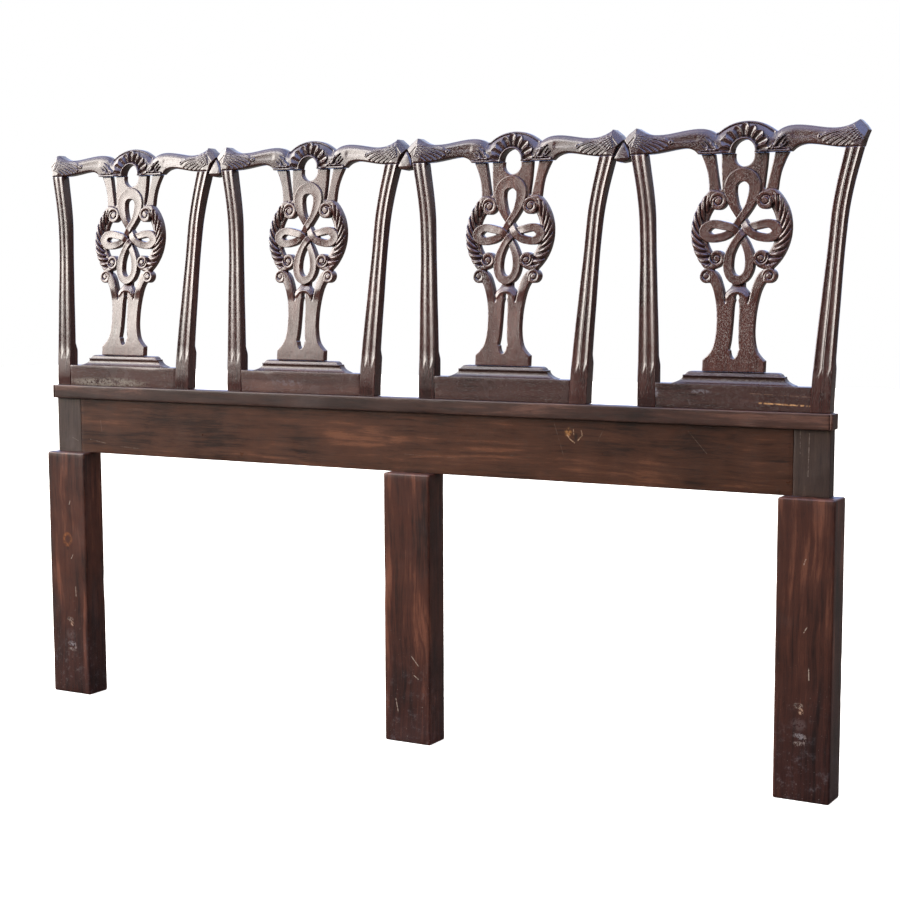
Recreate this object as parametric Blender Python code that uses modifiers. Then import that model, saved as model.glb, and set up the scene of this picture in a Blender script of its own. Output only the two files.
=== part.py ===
"""Headboard built from four carved chair backs on a three-legged rail.

Frame: +Z up, +X along the headboard to the right, front faces -Y.
World origin: on the floor, under the middle of the overall width and depth.
Every piece is a child of headboard_frame, where y = 0 is the front face of the rail board.
Sizes are in metres; outline tables and names ending in _MM are in millimetres.
"""
import math

import bmesh
import bpy
from mathutils import Matrix, Vector

for old in list(bpy.data.objects):
    bpy.data.objects.remove(old, do_unlink=True)

# ---------------------------------------------------------------- shared dimensions
MM = 0.001
GAP = 0.0003                      # clearance between neighbouring pieces
FRAME_Y = -0.0286                 # world y of the rail board's front face
SIDES = {"left": -1, "right": 1}

RAIL_HALF = 1.000                 # half length of the rail
RAIL_DEPTH = 0.0285               # thickness of the rail board
RAIL_MID_Y = RAIL_DEPTH / 2
RAIL_Z0, RAIL_Z1 = 0.6145, 0.7816

BACK_COUNT = 4
BACK_PITCH = 0.5276               # spacing of the chair backs along the rail
BACK_Z0 = RAIL_Z1 + GAP           # underside of the chair backs
BACK_Z1 = 1.3010                  # joint between stiles and crest rail


# ---------------------------------------------------------------- collections and frame
def new_collection(name):
    collection = bpy.data.collections.new(name)
    bpy.context.scene.collection.children.link(collection)
    return collection


parts = new_collection("headboard")
cutters = new_collection("cutters")

root = bpy.data.objects.new("headboard_frame", None)
root.location = (0, FRAME_Y, 0)
parts.objects.link(root)


# ---------------------------------------------------------------- materials
def wood(name, colour, roughness):
    material = bpy.data.materials.new(name)
    material.use_nodes = True
    shader = material.node_tree.nodes["Principled BSDF"]
    shader.inputs["Base Color"].default_value = (*colour, 1)
    shader.inputs["Roughness"].default_value = roughness
    return material


LEG_WOOD = wood("leg_mahogany", colour=(0.095, 0.030, 0.022), roughness=0.32)
RAIL_WOOD = wood("rail_mahogany", colour=(0.070, 0.026, 0.020), roughness=0.35)
END_WOOD = wood("rail_end_mahogany", colour=(0.060, 0.032, 0.026), roughness=0.42)
CAP_WOOD = wood("cap_mahogany", colour=(0.045, 0.020, 0.017), roughness=0.38)
BACK_WOOD = wood("back_mahogany", colour=(0.065, 0.028, 0.026), roughness=0.36)
SPLAT_WOOD = wood("splat_mahogany", colour=(0.075, 0.030, 0.027), roughness=0.36)
PEG_WOOD = wood("peg_beech", colour=(0.42, 0.27, 0.14), roughness=0.60)


# ---------------------------------------------------------------- objects and meshes
def add(name, mesh, material, location, collection=parts):
    ob = bpy.data.objects.new(name, mesh)
    collection.objects.link(ob)
    ob.parent = root
    ob.location = location
    if material:
        mesh.materials.append(material)
    return ob


def finish_mesh(bm, name):
    mesh = bpy.data.meshes.new(name)
    bm.to_mesh(mesh)
    bm.free()
    return mesh


def create_box(bm, low, high):
    size = [b - a for a, b in zip(low, high)]
    middle = [(a + b) / 2 for a, b in zip(low, high)]
    matrix = Matrix.Translation(middle) @ Matrix.Diagonal((*size, 1))
    bmesh.ops.create_cube(bm, size=1.0, matrix=matrix)


def box(name, corner, opposite, material, collection=parts):
    """Box between two opposite corners; its origin is the middle of its underside."""
    low, high = zip(*(sorted(pair) for pair in zip(corner, opposite)))
    origin = Vector(((low[0] + high[0]) / 2, (low[1] + high[1]) / 2, low[2]))
    bm = bmesh.new()
    create_box(bm, [a - o for a, o in zip(low, origin)], [b - o for b, o in zip(high, origin)])
    return add(name, finish_mesh(bm, name), material, origin, collection)


def peg(name, centre, reach, radius, material, collection=parts):
    """Upright round peg, reaching equally far above and below its centre."""
    bm = bmesh.new()
    bmesh.ops.create_cone(bm, cap_ends=True, segments=12, radius1=radius, radius2=radius,
                          depth=2 * reach)
    mesh = finish_mesh(bm, name)
    mesh.shade_smooth()
    mesh.set_sharp_from_angle(angle=math.radians(40))
    return add(name, mesh, material, centre, collection)


def loft(name, sections):
    """Closed solid through sections that all have the same number of corners."""
    bm = bmesh.new()
    rings = [[bm.verts.new(point) for point in section] for section in sections]
    count = len(rings[0])
    bm.faces.new(rings[0][::-1])
    for below, above in zip(rings, rings[1:]):
        for i in range(count):
            j = (i + 1) % count
            bm.faces.new((below[i], below[j], above[j], above[i]))
    bm.faces.new(rings[-1])
    bmesh.ops.recalc_face_normals(bm, faces=bm.faces)
    return finish_mesh(bm, name)


def plate(name, loops, thickness, slope, front_y, base_z, bevel=0.0):
    """Flat pierced board from (x, z) outlines in mm, leaned back by a shear.

    base_z is the height of the mesh's origin, and front_y the board's front there.
    """
    curve = bpy.data.curves.new(name, 'CURVE')
    curve.dimensions = '2D'
    curve.fill_mode = 'BOTH'
    curve.extrude = thickness / 2 - bevel
    curve.bevel_depth = bevel
    curve.offset = -bevel
    curve.bevel_resolution = 0
    curve.resolution_u = 1
    for loop in loops:
        line = curve.splines.new('POLY')
        line.points.add(len(loop) - 1)
        for point, (x, z) in zip(line.points, loop):
            point.co = (x * MM, z * MM - base_z, 0, 1)
        line.use_cyclic_u = True
    outline = bpy.data.objects.new(name + "_curve", curve)
    parts.objects.link(outline)
    depsgraph = bpy.context.evaluated_depsgraph_get()
    mesh = bpy.data.meshes.new_from_object(outline.evaluated_get(depsgraph))
    bpy.data.objects.remove(outline, do_unlink=True)

    bm = bmesh.new()
    bm.from_mesh(mesh)
    bmesh.ops.remove_doubles(bm, verts=bm.verts, dist=0.00002)
    # Stand the board up, centre of its thickness on y = 0, then lean it back.
    bmesh.ops.transform(bm, verts=bm.verts, matrix=Matrix.Rotation(math.radians(90), 4, 'X'))
    lean = Matrix.Identity(4)
    lean[1][2] = slope
    bmesh.ops.transform(bm, verts=bm.verts, matrix=lean)
    bmesh.ops.translate(bm, verts=bm.verts, vec=(0, front_y + thickness / 2, 0))
    bmesh.ops.recalc_face_normals(bm, faces=bm.faces)
    bm.to_mesh(mesh)
    bm.free()
    mesh.materials.clear()
    return mesh


# ---------------------------------------------------------------- modifiers and joints
END_CLEARANCE = 0.0005            # free space beyond each end of a dowel


def cut(target, cutter):
    cutter.hide_render = True
    cutter.display_type = 'WIRE'
    modifier = target.modifiers.new(cutter.name, 'BOOLEAN')
    modifier.operation = 'DIFFERENCE'
    modifier.solver = 'EXACT'
    modifier.object = cutter


def box_cut(target, name, corner, opposite):
    cut(target, box(name, corner, opposite, None, cutters))


def dowel_joint(name, hole, targets, centre, reach, radius):
    """Dowel with a hole for it in each target."""
    for target in targets:
        cut(target, peg(f"{target.name}_{hole}", centre, reach + END_CLEARANCE, radius + GAP,
                        None, cutters))
    peg(name, centre, reach, radius, PEG_WOOD)


def ease(ob, width, segments):
    modifier = ob.modifiers.new("ease", 'BEVEL')
    modifier.width = width
    modifier.segments = segments
    modifier.limit_method = 'ANGLE'


# ---------------------------------------------------------------- outline geometry
def table(rows, z):
    """Straight-line reading of a (z, value) table."""
    if z <= rows[0][0]:
        return rows[0][1]
    for (z_a, value_a), (z_b, value_b) in zip(rows, rows[1:]):
        if z <= z_b:
            return value_a + (value_b - value_a) * (z - z_a) / (z_b - z_a)
    return rows[-1][1]


def arc(centre_x, centre_z, radius, start, end, steps):
    """steps + 1 points on a circle from angle start to end in degrees."""
    angles = [math.radians(start + (end - start) * i / steps) for i in range(steps + 1)]
    return [(centre_x + radius * math.cos(a), centre_z + radius * math.sin(a)) for a in angles]


def flipped(points):
    """The points on the other side of x = 0, in reverse order."""
    return [(-x, z) for x, z in reversed(points)]


def mirrored(half):
    """Full closed outline from its right half, whose ends may lie on x = 0."""
    return half + flipped([point for point in half if abs(point[0]) > 1e-6])


# ---------------------------------------------------------------- legs
LEG_WIDTH = 0.1187
LEG_Y0, LEG_Y1 = -0.027, 0.0409
LEG_X = {"left": -0.9555, "centre": 0.0400, "right": 0.9615}
LEG_EASE = 0.0035

# Loose tenon standing half in the leg and half in the rail
LEG_TENON_X = {"left": -0.9632, "centre": 0.0400, "right": 0.9632}
LEG_TENON_HALF_X, LEG_TENON_HALF_Y = 0.022, 0.006
LEG_TENON_REACH = 0.030
MORTISE_OVERSHOOT = 0.010         # how far a mortise cutter stands out of its piece


def leg_tenon_corners(side, below, above, margin=0.0):
    """Corners of the tenon's space, from below to above the rail's underside."""
    half_x, half_y = LEG_TENON_HALF_X - margin, LEG_TENON_HALF_Y - margin
    x = LEG_TENON_X[side]
    return ((x - half_x, RAIL_MID_Y - half_y, RAIL_Z0 - below + margin),
            (x + half_x, RAIL_MID_Y + half_y, RAIL_Z0 + above - margin))


def build_legs():
    for side, x in LEG_X.items():
        leg = box(f"leg_{side}", (x - LEG_WIDTH / 2, LEG_Y0, 0),
                  (x + LEG_WIDTH / 2, LEG_Y1, RAIL_Z0 - GAP), LEG_WOOD)
        ease(leg, LEG_EASE, segments=2)
        box_cut(leg, f"leg_{side}_mortise",
                *leg_tenon_corners(side, LEG_TENON_REACH, MORTISE_OVERSHOOT))
        box(f"leg_tenon_{side}",
            *leg_tenon_corners(side, LEG_TENON_REACH, LEG_TENON_REACH, margin=GAP), PEG_WOOD)


# ---------------------------------------------------------------- rail
END_SEAM = 0.9245                 # seam between main board and end board
TONGUE_HALF_X, TONGUE_HALF_Y = 0.012, 0.005
TONGUE_Z0, TONGUE_Z1 = 0.655, 0.740


def build_rail():
    """Main board and two end boards; returns the main board and the ends by side."""
    board = box("rail_board", (-END_SEAM + GAP / 2, 0, RAIL_Z0),
                (END_SEAM - GAP / 2, RAIL_DEPTH, RAIL_Z1), RAIL_WOOD)
    ends = {}
    for side, sign in SIDES.items():
        ends[side] = box(f"rail_end_{side}", (sign * (END_SEAM + GAP / 2), 0, RAIL_Z0),
                         (sign * RAIL_HALF, RAIL_DEPTH, RAIL_Z1), END_WOOD)
        # Loose tongue across the seam
        seam = sign * END_SEAM
        low = (seam - TONGUE_HALF_X, RAIL_MID_Y - TONGUE_HALF_Y, TONGUE_Z0)
        high = (seam + TONGUE_HALF_X, RAIL_MID_Y + TONGUE_HALF_Y, TONGUE_Z1)
        for ob in (board, ends[side]):
            box_cut(ob, f"{ob.name}_groove_{side}", low, high)
        box(f"rail_tongue_{side}", [v + GAP for v in low], [v - GAP for v in high], PEG_WOOD)
    for side in LEG_X:
        box_cut(ends.get(side, board), f"rail_mortise_{side}",
                *leg_tenon_corners(side, MORTISE_OVERSHOOT, LEG_TENON_REACH))
    return board, ends


# ---------------------------------------------------------------- cap band and returns
CAP_HEIGHT = 0.0326               # band along the top front edge of the rail
CAP_THICK = 0.0100
RETURN_THICK = 0.0060             # the band's return across each end of the rail
CAP_EASE = 0.0012


def build_cap():
    z0 = RAIL_Z1 - CAP_HEIGHT
    band = box("cap_band", (-RAIL_HALF, -CAP_THICK, z0), (RAIL_HALF, -GAP, RAIL_Z1), CAP_WOOD)
    ease(band, CAP_EASE, segments=1)
    inner = RAIL_HALF + GAP
    for side, sign in SIDES.items():
        end_return = box(f"cap_return_{side}", (sign * inner, -CAP_THICK, z0),
                         (sign * (inner + RETURN_THICK), RAIL_DEPTH, RAIL_Z1), CAP_WOOD)
        ease(end_return, CAP_EASE, segments=1)


# ---------------------------------------------------------------- stiles
# Each row: height in m, value in mm
STILE_OUTER = [                   # outer edge, from the middle of the back
    (0.7816, 205.5), (0.86, 207.0), (0.94, 209.3), (1.00, 211.4), (1.06, 213.0), (1.10, 214.5),
    (1.14, 216.8), (1.18, 220.0), (1.215, 225.0), (1.25, 231.8), (1.301, 244.0)]
STILE_WIDTH = [
    (0.7816, 40.0), (0.86, 39.6), (0.94, 37.0), (1.02, 33.6), (1.10, 30.2), (1.18, 30.0),
    (1.25, 30.5), (1.301, 32.5)]
STILE_DEPTH = [(0.7816, 30.0), (0.868, 30.0), (0.886, 23.0), (1.301, 21.5)]
STILE_LEVELS = [BACK_Z0, 0.8515, 0.866, 0.886, 0.94, 1.02, 1.10, 1.15, 1.185, 1.215, 1.25,
                BACK_Z1 - GAP]

# Backward lean of the stiles' front
RAKE_START, RAKE_SPAN, RAKE, RAKE_POWER = 0.800, 0.500, 0.048, 1.15

# Two flutes down the front: share of the width, and share of the flute depth
STILE_FRONT = [(0.05, 0), (0.15, 0), (0.275, 1), (0.40, 0), (0.60, 0), (0.725, 1), (0.85, 0),
               (0.95, 0)]
FLUTE_Z0, FLUTE_RUN_IN, FLUTE_DEPTH = 0.852, 0.014, 0.0026
FLUTE_MIN_DEPTH = 1e-5            # depth left below the flutes
STILE_CORNER_Y = 0.0012           # set-back of the front corners
STILE_BACK_INSET = 0.001          # narrowing at the back on each edge


def inner_edge(z):
    return (table(STILE_OUTER, z) - table(STILE_WIDTH, z)) * MM


STILE_FOOT_INNER = inner_edge(BACK_Z0)


def stile_section(z):
    """Section of a right-hand stile at height z, as (x, y)."""
    outer = table(STILE_OUTER, z) * MM
    width = table(STILE_WIDTH, z) * MM
    inner = outer - width
    front = RAKE * max(0.0, (z - RAKE_START) / RAKE_SPAN) ** RAKE_POWER
    back = front + table(STILE_DEPTH, z) * MM
    run_in = min(1.0, max(0.0, (z - FLUTE_Z0) / FLUTE_RUN_IN))
    flute = FLUTE_DEPTH * run_in + FLUTE_MIN_DEPTH
    return [(inner, front + STILE_CORNER_Y),
            *((inner + width * share, front + flute * deep) for share, deep in STILE_FRONT),
            (outer, front + STILE_CORNER_Y),
            (outer - STILE_BACK_INSET, back),
            (inner + STILE_BACK_INSET, back)]


def stile_mesh(sign):
    return loft("stile", [[(sign * x, y, z) for x, y in stile_section(z)]
                          for z in STILE_LEVELS])


# ---------------------------------------------------------------- seat rail
SEAT_RAIL_Y0, SEAT_RAIL_Y1 = 0.0015, RAIL_DEPTH
SEAT_RAIL_MID_Y = (SEAT_RAIL_Y0 + SEAT_RAIL_Y1) / 2
SEAT_RAIL_Z1 = 0.8320
TENON_LENGTH, TENON_THICK = 0.018, 0.010
TENON_Z0, TENON_Z1 = 0.790, 0.824
TENON_INSET = 0.006               # first inset of the end face, before the root is sized
MORTISE_BEFORE, MORTISE_BEYOND = 0.010, 0.0025    # stile mortise past root and tip of tenon


def seat_rail_mesh():
    """Board with a stub tenon on each end."""
    half = STILE_FOOT_INNER - GAP
    middle_z = (BACK_Z0 + SEAT_RAIL_Z1) / 2
    bm = bmesh.new()
    create_box(bm, (-half, SEAT_RAIL_Y0, BACK_Z0), (half, SEAT_RAIL_Y1, SEAT_RAIL_Z1))
    for vert in bm.verts:         # shoulders follow the stiles' inner edges
        vert.co.x = math.copysign(inner_edge(vert.co.z) - GAP, vert.co.x)
    for sign in (-1, 1):
        end = max(bm.faces, key=lambda face: sign * face.calc_center_median().x)
        bmesh.ops.inset_region(bm, faces=[end], thickness=TENON_INSET, use_boundary=True)
        for vert in end.verts:    # size the tenon's root
            vert.co.z = TENON_Z1 - GAP if vert.co.z > middle_z else TENON_Z0 + GAP
            toward = 1 if vert.co.y > SEAT_RAIL_MID_Y else -1
            vert.co.y = SEAT_RAIL_MID_Y + (TENON_THICK / 2 - GAP) * toward
        extruded = bmesh.ops.extrude_face_region(bm, geom=[end])
        tip = [g for g in extruded["geom"] if isinstance(g, bmesh.types.BMVert)]
        bmesh.ops.translate(bm, verts=tip, vec=(sign * TENON_LENGTH, 0, 0))
        bmesh.ops.delete(bm, geom=[end], context='FACES_ONLY')
    bmesh.ops.recalc_face_normals(bm, faces=bm.faces)
    return finish_mesh(bm, "seat_rail")


# ---------------------------------------------------------------- shoe
SHOE_Z0 = SEAT_RAIL_Z1 + GAP
SHOE_HALF_MM, SHOE_Y0_MM, SHOE_Y1_MM = 131.0, 1.5, 28.0
SHOE_TIERS = [  # height above the shoe's underside, inset at the ends, inset at the front
    (0.0, 0.0, 0.0), (1.4, 3.0, 2.4), (4.0, 10.0, 5.4), (8.0, 17.5, 8.0), (13.0, 21.0, 8.4),
    (15.6, 22.5, 6.4), (18.0, 22.5, 5.4), (18.6, 27.5, 6.6), (22.0, 30.0, 8.2),
    (25.7, 37.0, 10.5)]


def shoe_mesh():
    """Moulded block: each tier is the footprint drawn in at the front and at both ends."""
    sections = []
    for height, end_inset, front_inset in SHOE_TIERS:
        half = (SHOE_HALF_MM - end_inset) * MM
        front, back = (SHOE_Y0_MM + front_inset) * MM, SHOE_Y1_MM * MM
        z = SHOE_Z0 + height * MM
        sections.append([(-half, front, z), (half, front, z), (half, back, z), (-half, back, z)])
    return loft("shoe", sections)


# ---------------------------------------------------------------- splat
SPLAT_THICK = 0.0140
SPLAT_BASE_Z = 0.860              # height of the splat's origin
SPLAT_Y0, SPLAT_SLOPE = 0.0080, 0.1050    # front at that height, and lean

# Outline, right half, (x, z) in mm from the foot up
FOOT_HALF_MM = 58
SPLAT_FOOT = [(0, 845.5), (FOOT_HALF_MM, 845.5), (FOOT_HALF_MM, 858.3), (66, 858.3), (66, 881)]
SPLAT_WAIST = [(57, 889), (48, 900), (43, 915), (40.3, 934), (40, 955), (41.2, 977),
               (44.5, 1000), (49, 1019), (54.5, 1032), (59.0, 1038.2)]
LOWER_SCROLL = arc(66.5, 1051, 14.8, -105, 48, 7)
RING_Z_MM, RING_OUTER_MM, RING_INNER_MM = 1143.5, 106.0, 75.0      # carved ring
RING_EDGE = arc(0, RING_Z_MM, RING_OUTER_MM, -47.5, 46.5, 14)
OUTER_STRAP = [(72.3, 1224), (74, 1242), (77.5, 1260), (83.5, 1277), (90, 1291), (94, 1298)]
SPLAT_TOP_HALF_MM, SPLAT_TOP_MM = 94, 1307.0      # tongue housed in the crest rail
SPLAT_EYE_Z_MM, SPLAT_EYE_R_MM = 1291, 21.0       # round notch in the top edge

# Openings on the centre line, right half
CENTRE_OPENINGS = [
    # keyhole slot in the waist
    [(0, 884), (7, 886.5), (9.5, 892), (11.5, 899), (8.3, 911), (7.2, 930), (7.2, 965),
     (8.5, 986), (7.5, 996), (4.2, 1001), (6, 1008), (3.5, 1013.2), (0, 1014.6)],
    # drops inside the top and bottom loops of the ribbon
    [(0, 1181), (5, 1190), (10.5, 1204), (13.4, 1220), (11, 1233), (5, 1240), (0, 1241)],
    [(0, 1051), (5.5, 1052.5), (11, 1059), (13.6, 1071), (11.2, 1085), (5.5, 1097), (0, 1105)],
]
# Openings repeated on both sides, as they stand on the right
SIDE_OPENINGS = [
    # drop inside the side loop
    [(36, 1140), (46, 1144.4), (56, 1147.2), (63, 1145.6), (66.5, 1140), (63, 1134.4),
     (56, 1132.8), (46, 1135.6)],
    # below and above the side loop, inside the ring
    [(17, 1125.5), (30, 1119.5), (45, 1116.6), (60, 1117.6),
     *arc(0, RING_Z_MM, RING_INNER_MM, -17, -33, 2),
     (58.5, 1098.2), (47, 1102.6), (38, 1100), (33, 1097), (29, 1107), (23.5, 1117)],
    [(18, 1158.5), (24, 1155), (34, 1160), (48, 1163.5), (60, 1162.6),
     *arc(0, RING_Z_MM, RING_INNER_MM, 12, 30, 2),
     (61, 1187), (50, 1183.4), (40, 1186), (33.5, 1190), (30, 1178), (24, 1167)],
    # between the forked scroll and the bottom loop
    [(27.5, 1016), (30, 1024), (33.8, 1036), (39, 1049), (46, 1060), (45.5, 1065.5),
     (37, 1068), (32.5, 1055), (26.5, 1042.5), (20.5, 1033), (22, 1026)],
    # tapered slot between centre strap and outer strap
    [(49, 1297), (43.8, 1225), (50.3, 1225), (64.5, 1297)],
]
PINHOLE = [(0, 1141.4), (3.2, 1144.4), (0, 1147.4)]       # middle of the knot, right half


def splat_front(z):
    return SPLAT_Y0 + SPLAT_SLOPE * (z - SPLAT_BASE_Z)


def splat_mesh():
    eye_start = math.degrees(math.asin((SPLAT_TOP_MM - SPLAT_EYE_Z_MM) / SPLAT_EYE_R_MM))
    half = (SPLAT_FOOT + SPLAT_WAIST + LOWER_SCROLL + RING_EDGE + OUTER_STRAP
            + [(SPLAT_TOP_HALF_MM, SPLAT_TOP_MM)]
            + arc(0, SPLAT_EYE_Z_MM, SPLAT_EYE_R_MM, eye_start, -90, 7))
    loops = [mirrored(half)] + [mirrored(opening) for opening in CENTRE_OPENINGS]
    for sign in (1, -1):
        loops += [[(sign * x, z) for x, z in opening] for opening in SIDE_OPENINGS]
    loops.append(mirrored(PINHOLE))
    return plate("splat", loops, SPLAT_THICK, SPLAT_SLOPE, SPLAT_Y0, SPLAT_BASE_Z)


# ---------------------------------------------------------------- crest rail
CREST_THICK = 0.0240
CREST_SLOPE = 0.2000
CREST_Y0 = 0.0485                 # front at the stile joint
CREST_BEVEL = 0.0022

# Outline, right half, (x, z) in mm from the eye's lower end outward and over
CREST_EYE_Z_MM, CREST_EYE_R_MM, CREST_EYE_DROP_MM = 1300, 24.0, 3.0
CREST_LOW = [(98, 1297), (101, 1300), (107, 1304.6), (116, 1308.6), (130, 1310.6),
             (150, 1308.8), (170, 1305.6), (190, 1302.6), (209, 1301), (244, 1301)]
EAR_AT_END = [(248.0, 1317), (253.5, 1333), (245.5, 1343.5), (234.5, 1354.3)]
EAR_BETWEEN = [(248.5, 1317), (263.4, 1332.5), (253.5, 1343.8), (237.5, 1355.6)]
CREST_TOP = [(227, 1350), (216, 1344.8), (204, 1341.4), (190, 1340.2), (170, 1341.2),
             (150, 1344.2), (130, 1347.4), (108, 1349.6), (90, 1348.8), (76, 1344.8),
             (65, 1338.4)]
CREST_ARCH = [(60, 1341.2), (50, 1347.8), (36, 1355), (20, 1359.8), (0, 1361.8)]


def crest_mesh(number):
    """Crest of one chair back; its ears differ at the two ends of the headboard."""
    left_ear = EAR_AT_END if number == 1 else EAR_BETWEEN
    right_ear = EAR_AT_END if number == BACK_COUNT else EAR_BETWEEN
    eye_end = math.degrees(math.asin(-CREST_EYE_DROP_MM / CREST_EYE_R_MM))
    eye = arc(0, CREST_EYE_Z_MM, CREST_EYE_R_MM, 90, eye_end, 7)
    right = CREST_LOW + right_ear + CREST_TOP + CREST_ARCH
    left = CREST_LOW + left_ear + CREST_TOP + CREST_ARCH
    outline = right + flipped(left[:-1]) + flipped(eye) + eye[1:]
    return plate(f"crest_{number}", [outline], CREST_THICK, CREST_SLOPE, CREST_Y0, BACK_Z1,
                 bevel=CREST_BEVEL)


# ---------------------------------------------------------------- chair backs
# Groove in the crest rail's underside for the splat's tongue
GROOVE_HALF_X = SPLAT_TOP_HALF_MM * MM + 0.0005
GROOVE_Z0, GROOVE_Z1 = 1.290, SPLAT_TOP_MM * MM + 0.0004
GROOVE_LEVEL, GROOVE_MARGIN_Y = 1.302, 0.0016     # height it is centred for, slack each side
# Mortise in the shoe for the splat's foot
FOOT_HALF_X = FOOT_HALF_MM * MM + 0.0004
FOOT_Z0, FOOT_Z1 = 0.8451, 0.870
FOOT_LEVEL, FOOT_MARGIN_Y = 0.852, 0.0012

# Dowels from stile into rail, and pegs from stile into crest rail
DOWEL_X, DOWEL_RADIUS, DOWEL_REACH = 0.193, 0.005, 0.022
PEG_X, PEG_Y, PEG_RADIUS, PEG_REACH = 0.2225, CREST_Y0 + 0.0115, 0.004, 0.014


def splat_housing(target, name, x, half_x, level, margin_y, z0, z1):
    """Box recess around the splat, placed for its front at the given level."""
    front = splat_front(level)
    box_cut(target, name, (x - half_x, front - margin_y, z0),
            (x + half_x, front + SPLAT_THICK + margin_y, z1))


def build_stile(back, number, centre_x, side, mesh, crest, board, ends):
    sign = SIDES[side]
    stile = add(f"{back}_stile_{side}", mesh, BACK_WOOD, (centre_x, 0, 0))
    box_cut(stile, f"{back}_stile_{side}_mortise",
            (centre_x + sign * (STILE_FOOT_INNER - MORTISE_BEFORE),
             SEAT_RAIL_MID_Y - TENON_THICK / 2, TENON_Z0),
            (centre_x + sign * (STILE_FOOT_INNER + TENON_LENGTH + MORTISE_BEYOND),
             SEAT_RAIL_MID_Y + TENON_THICK / 2, TENON_Z1))
    tag = f"{number}{side[0]}"
    x = centre_x + sign * DOWEL_X
    below = ends[side] if abs(x) > END_SEAM else board
    dowel_joint(f"{back}_dowel_{side}", f"dowel_hole_{tag}", (stile, below),
                (x, RAIL_MID_Y, BACK_Z0), DOWEL_REACH, DOWEL_RADIUS)
    x = centre_x + sign * PEG_X
    dowel_joint(f"{back}_crest_peg_{side}", f"peg_hole_{tag}", (stile, crest),
                (x, PEG_Y, BACK_Z1), PEG_REACH, PEG_RADIUS)


def build_backs(board, ends):
    stile_meshes = {side: stile_mesh(sign) for side, sign in SIDES.items()}
    splat_shape = splat_mesh()
    crest_meshes = [crest_mesh(number) for number in range(1, BACK_COUNT + 1)]
    shoe_shape = shoe_mesh()
    for number, crest_shape in enumerate(crest_meshes, start=1):
        back = f"back{number}"
        x = (number - (BACK_COUNT + 1) / 2) * BACK_PITCH
        crest = add(f"{back}_crest", crest_shape, BACK_WOOD, (x, 0, BACK_Z1))
        add(f"{back}_splat", splat_shape.copy(), SPLAT_WOOD, (x, 0, SPLAT_BASE_Z))
        shoe = add(f"{back}_shoe", shoe_shape.copy(), BACK_WOOD, (x, 0, 0))
        add(f"{back}_seat_rail", seat_rail_mesh(), BACK_WOOD, (x, 0, 0))
        splat_housing(crest, f"{back}_crest_groove", x, GROOVE_HALF_X, GROOVE_LEVEL,
                      GROOVE_MARGIN_Y, GROOVE_Z0, GROOVE_Z1)
        splat_housing(shoe, f"{back}_shoe_mortise", x, FOOT_HALF_X, FOOT_LEVEL,
                      FOOT_MARGIN_Y, FOOT_Z0, FOOT_Z1)
        for side, mesh in stile_meshes.items():
            build_stile(back, number, x, side, mesh.copy(), crest, board, ends)


# ---------------------------------------------------------------- spacers between the ears
SPACER_POINTS = [  # corners of a convex block, (x, y, z) in mm
    (-16.5, 47.5, 1294.5), (16.5, 47.5, 1294.5), (0, 54.5, 1328),         # front facet
    (-19.4, 52, 1295), (19.4, 52, 1295), (-19.4, 68, 1295), (19.4, 68, 1295),
    (-13.2, 56, 1316), (13.2, 56, 1316), (-13.2, 70, 1316), (13.2, 70, 1316),
    (-2.5, 58, 1327), (2.5, 58, 1327), (-2.5, 71, 1327), (2.5, 71, 1327),
    (-11, 49, 1288), (11, 49, 1288), (-13, 67, 1287), (13, 67, 1287),
    (0, 50, 1286), (0, 65, 1285)]


def spacer_mesh(name):
    bm = bmesh.new()
    for x, y, z in SPACER_POINTS:
        bm.verts.new((x * MM, y * MM, z * MM - BACK_Z1))
    hull = bmesh.ops.convex_hull(bm, input=bm.verts)
    unused = [g for g in hull["geom_unused"] if isinstance(g, bmesh.types.BMVert)]
    bmesh.ops.delete(bm, geom=unused, context='VERTS')
    bmesh.ops.recalc_face_normals(bm, faces=bm.faces)
    return finish_mesh(bm, name)


def build_spacers():
    for number in range(1, BACK_COUNT):
        name = f"spacer_{number}"
        x = (number - BACK_COUNT / 2) * BACK_PITCH
        add(name, spacer_mesh(name), BACK_WOOD, (x, 0, BACK_Z1))


# ---------------------------------------------------------------- assembly
build_legs()
rail_board, rail_ends = build_rail()
build_cap()
build_backs(rail_board, rail_ends)
build_spacers()
bpy.context.view_layer.update()
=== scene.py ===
"""Mahogany headboard: four carved chair backs stand side by side on a board rail with three legs.

X runs along the headboard with left at -X, the front faces -Y, and Z is up from the floor. Every piece
takes its place from a CAD node's box and rides on the one body. Carved pieces are height fields cut to
an outline, boards and stiles are fine lofts with worn edges, and all wood is procedural.

Shapes are worked out in millimetres, with each chair back centred on x = 0 and its depth counted from
the front of the rail. Materials, lights and camera are in metres.
"""

import functools
import math

import bmesh
import bpy
import numpy as np
from mathutils import Matrix, Vector


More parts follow.
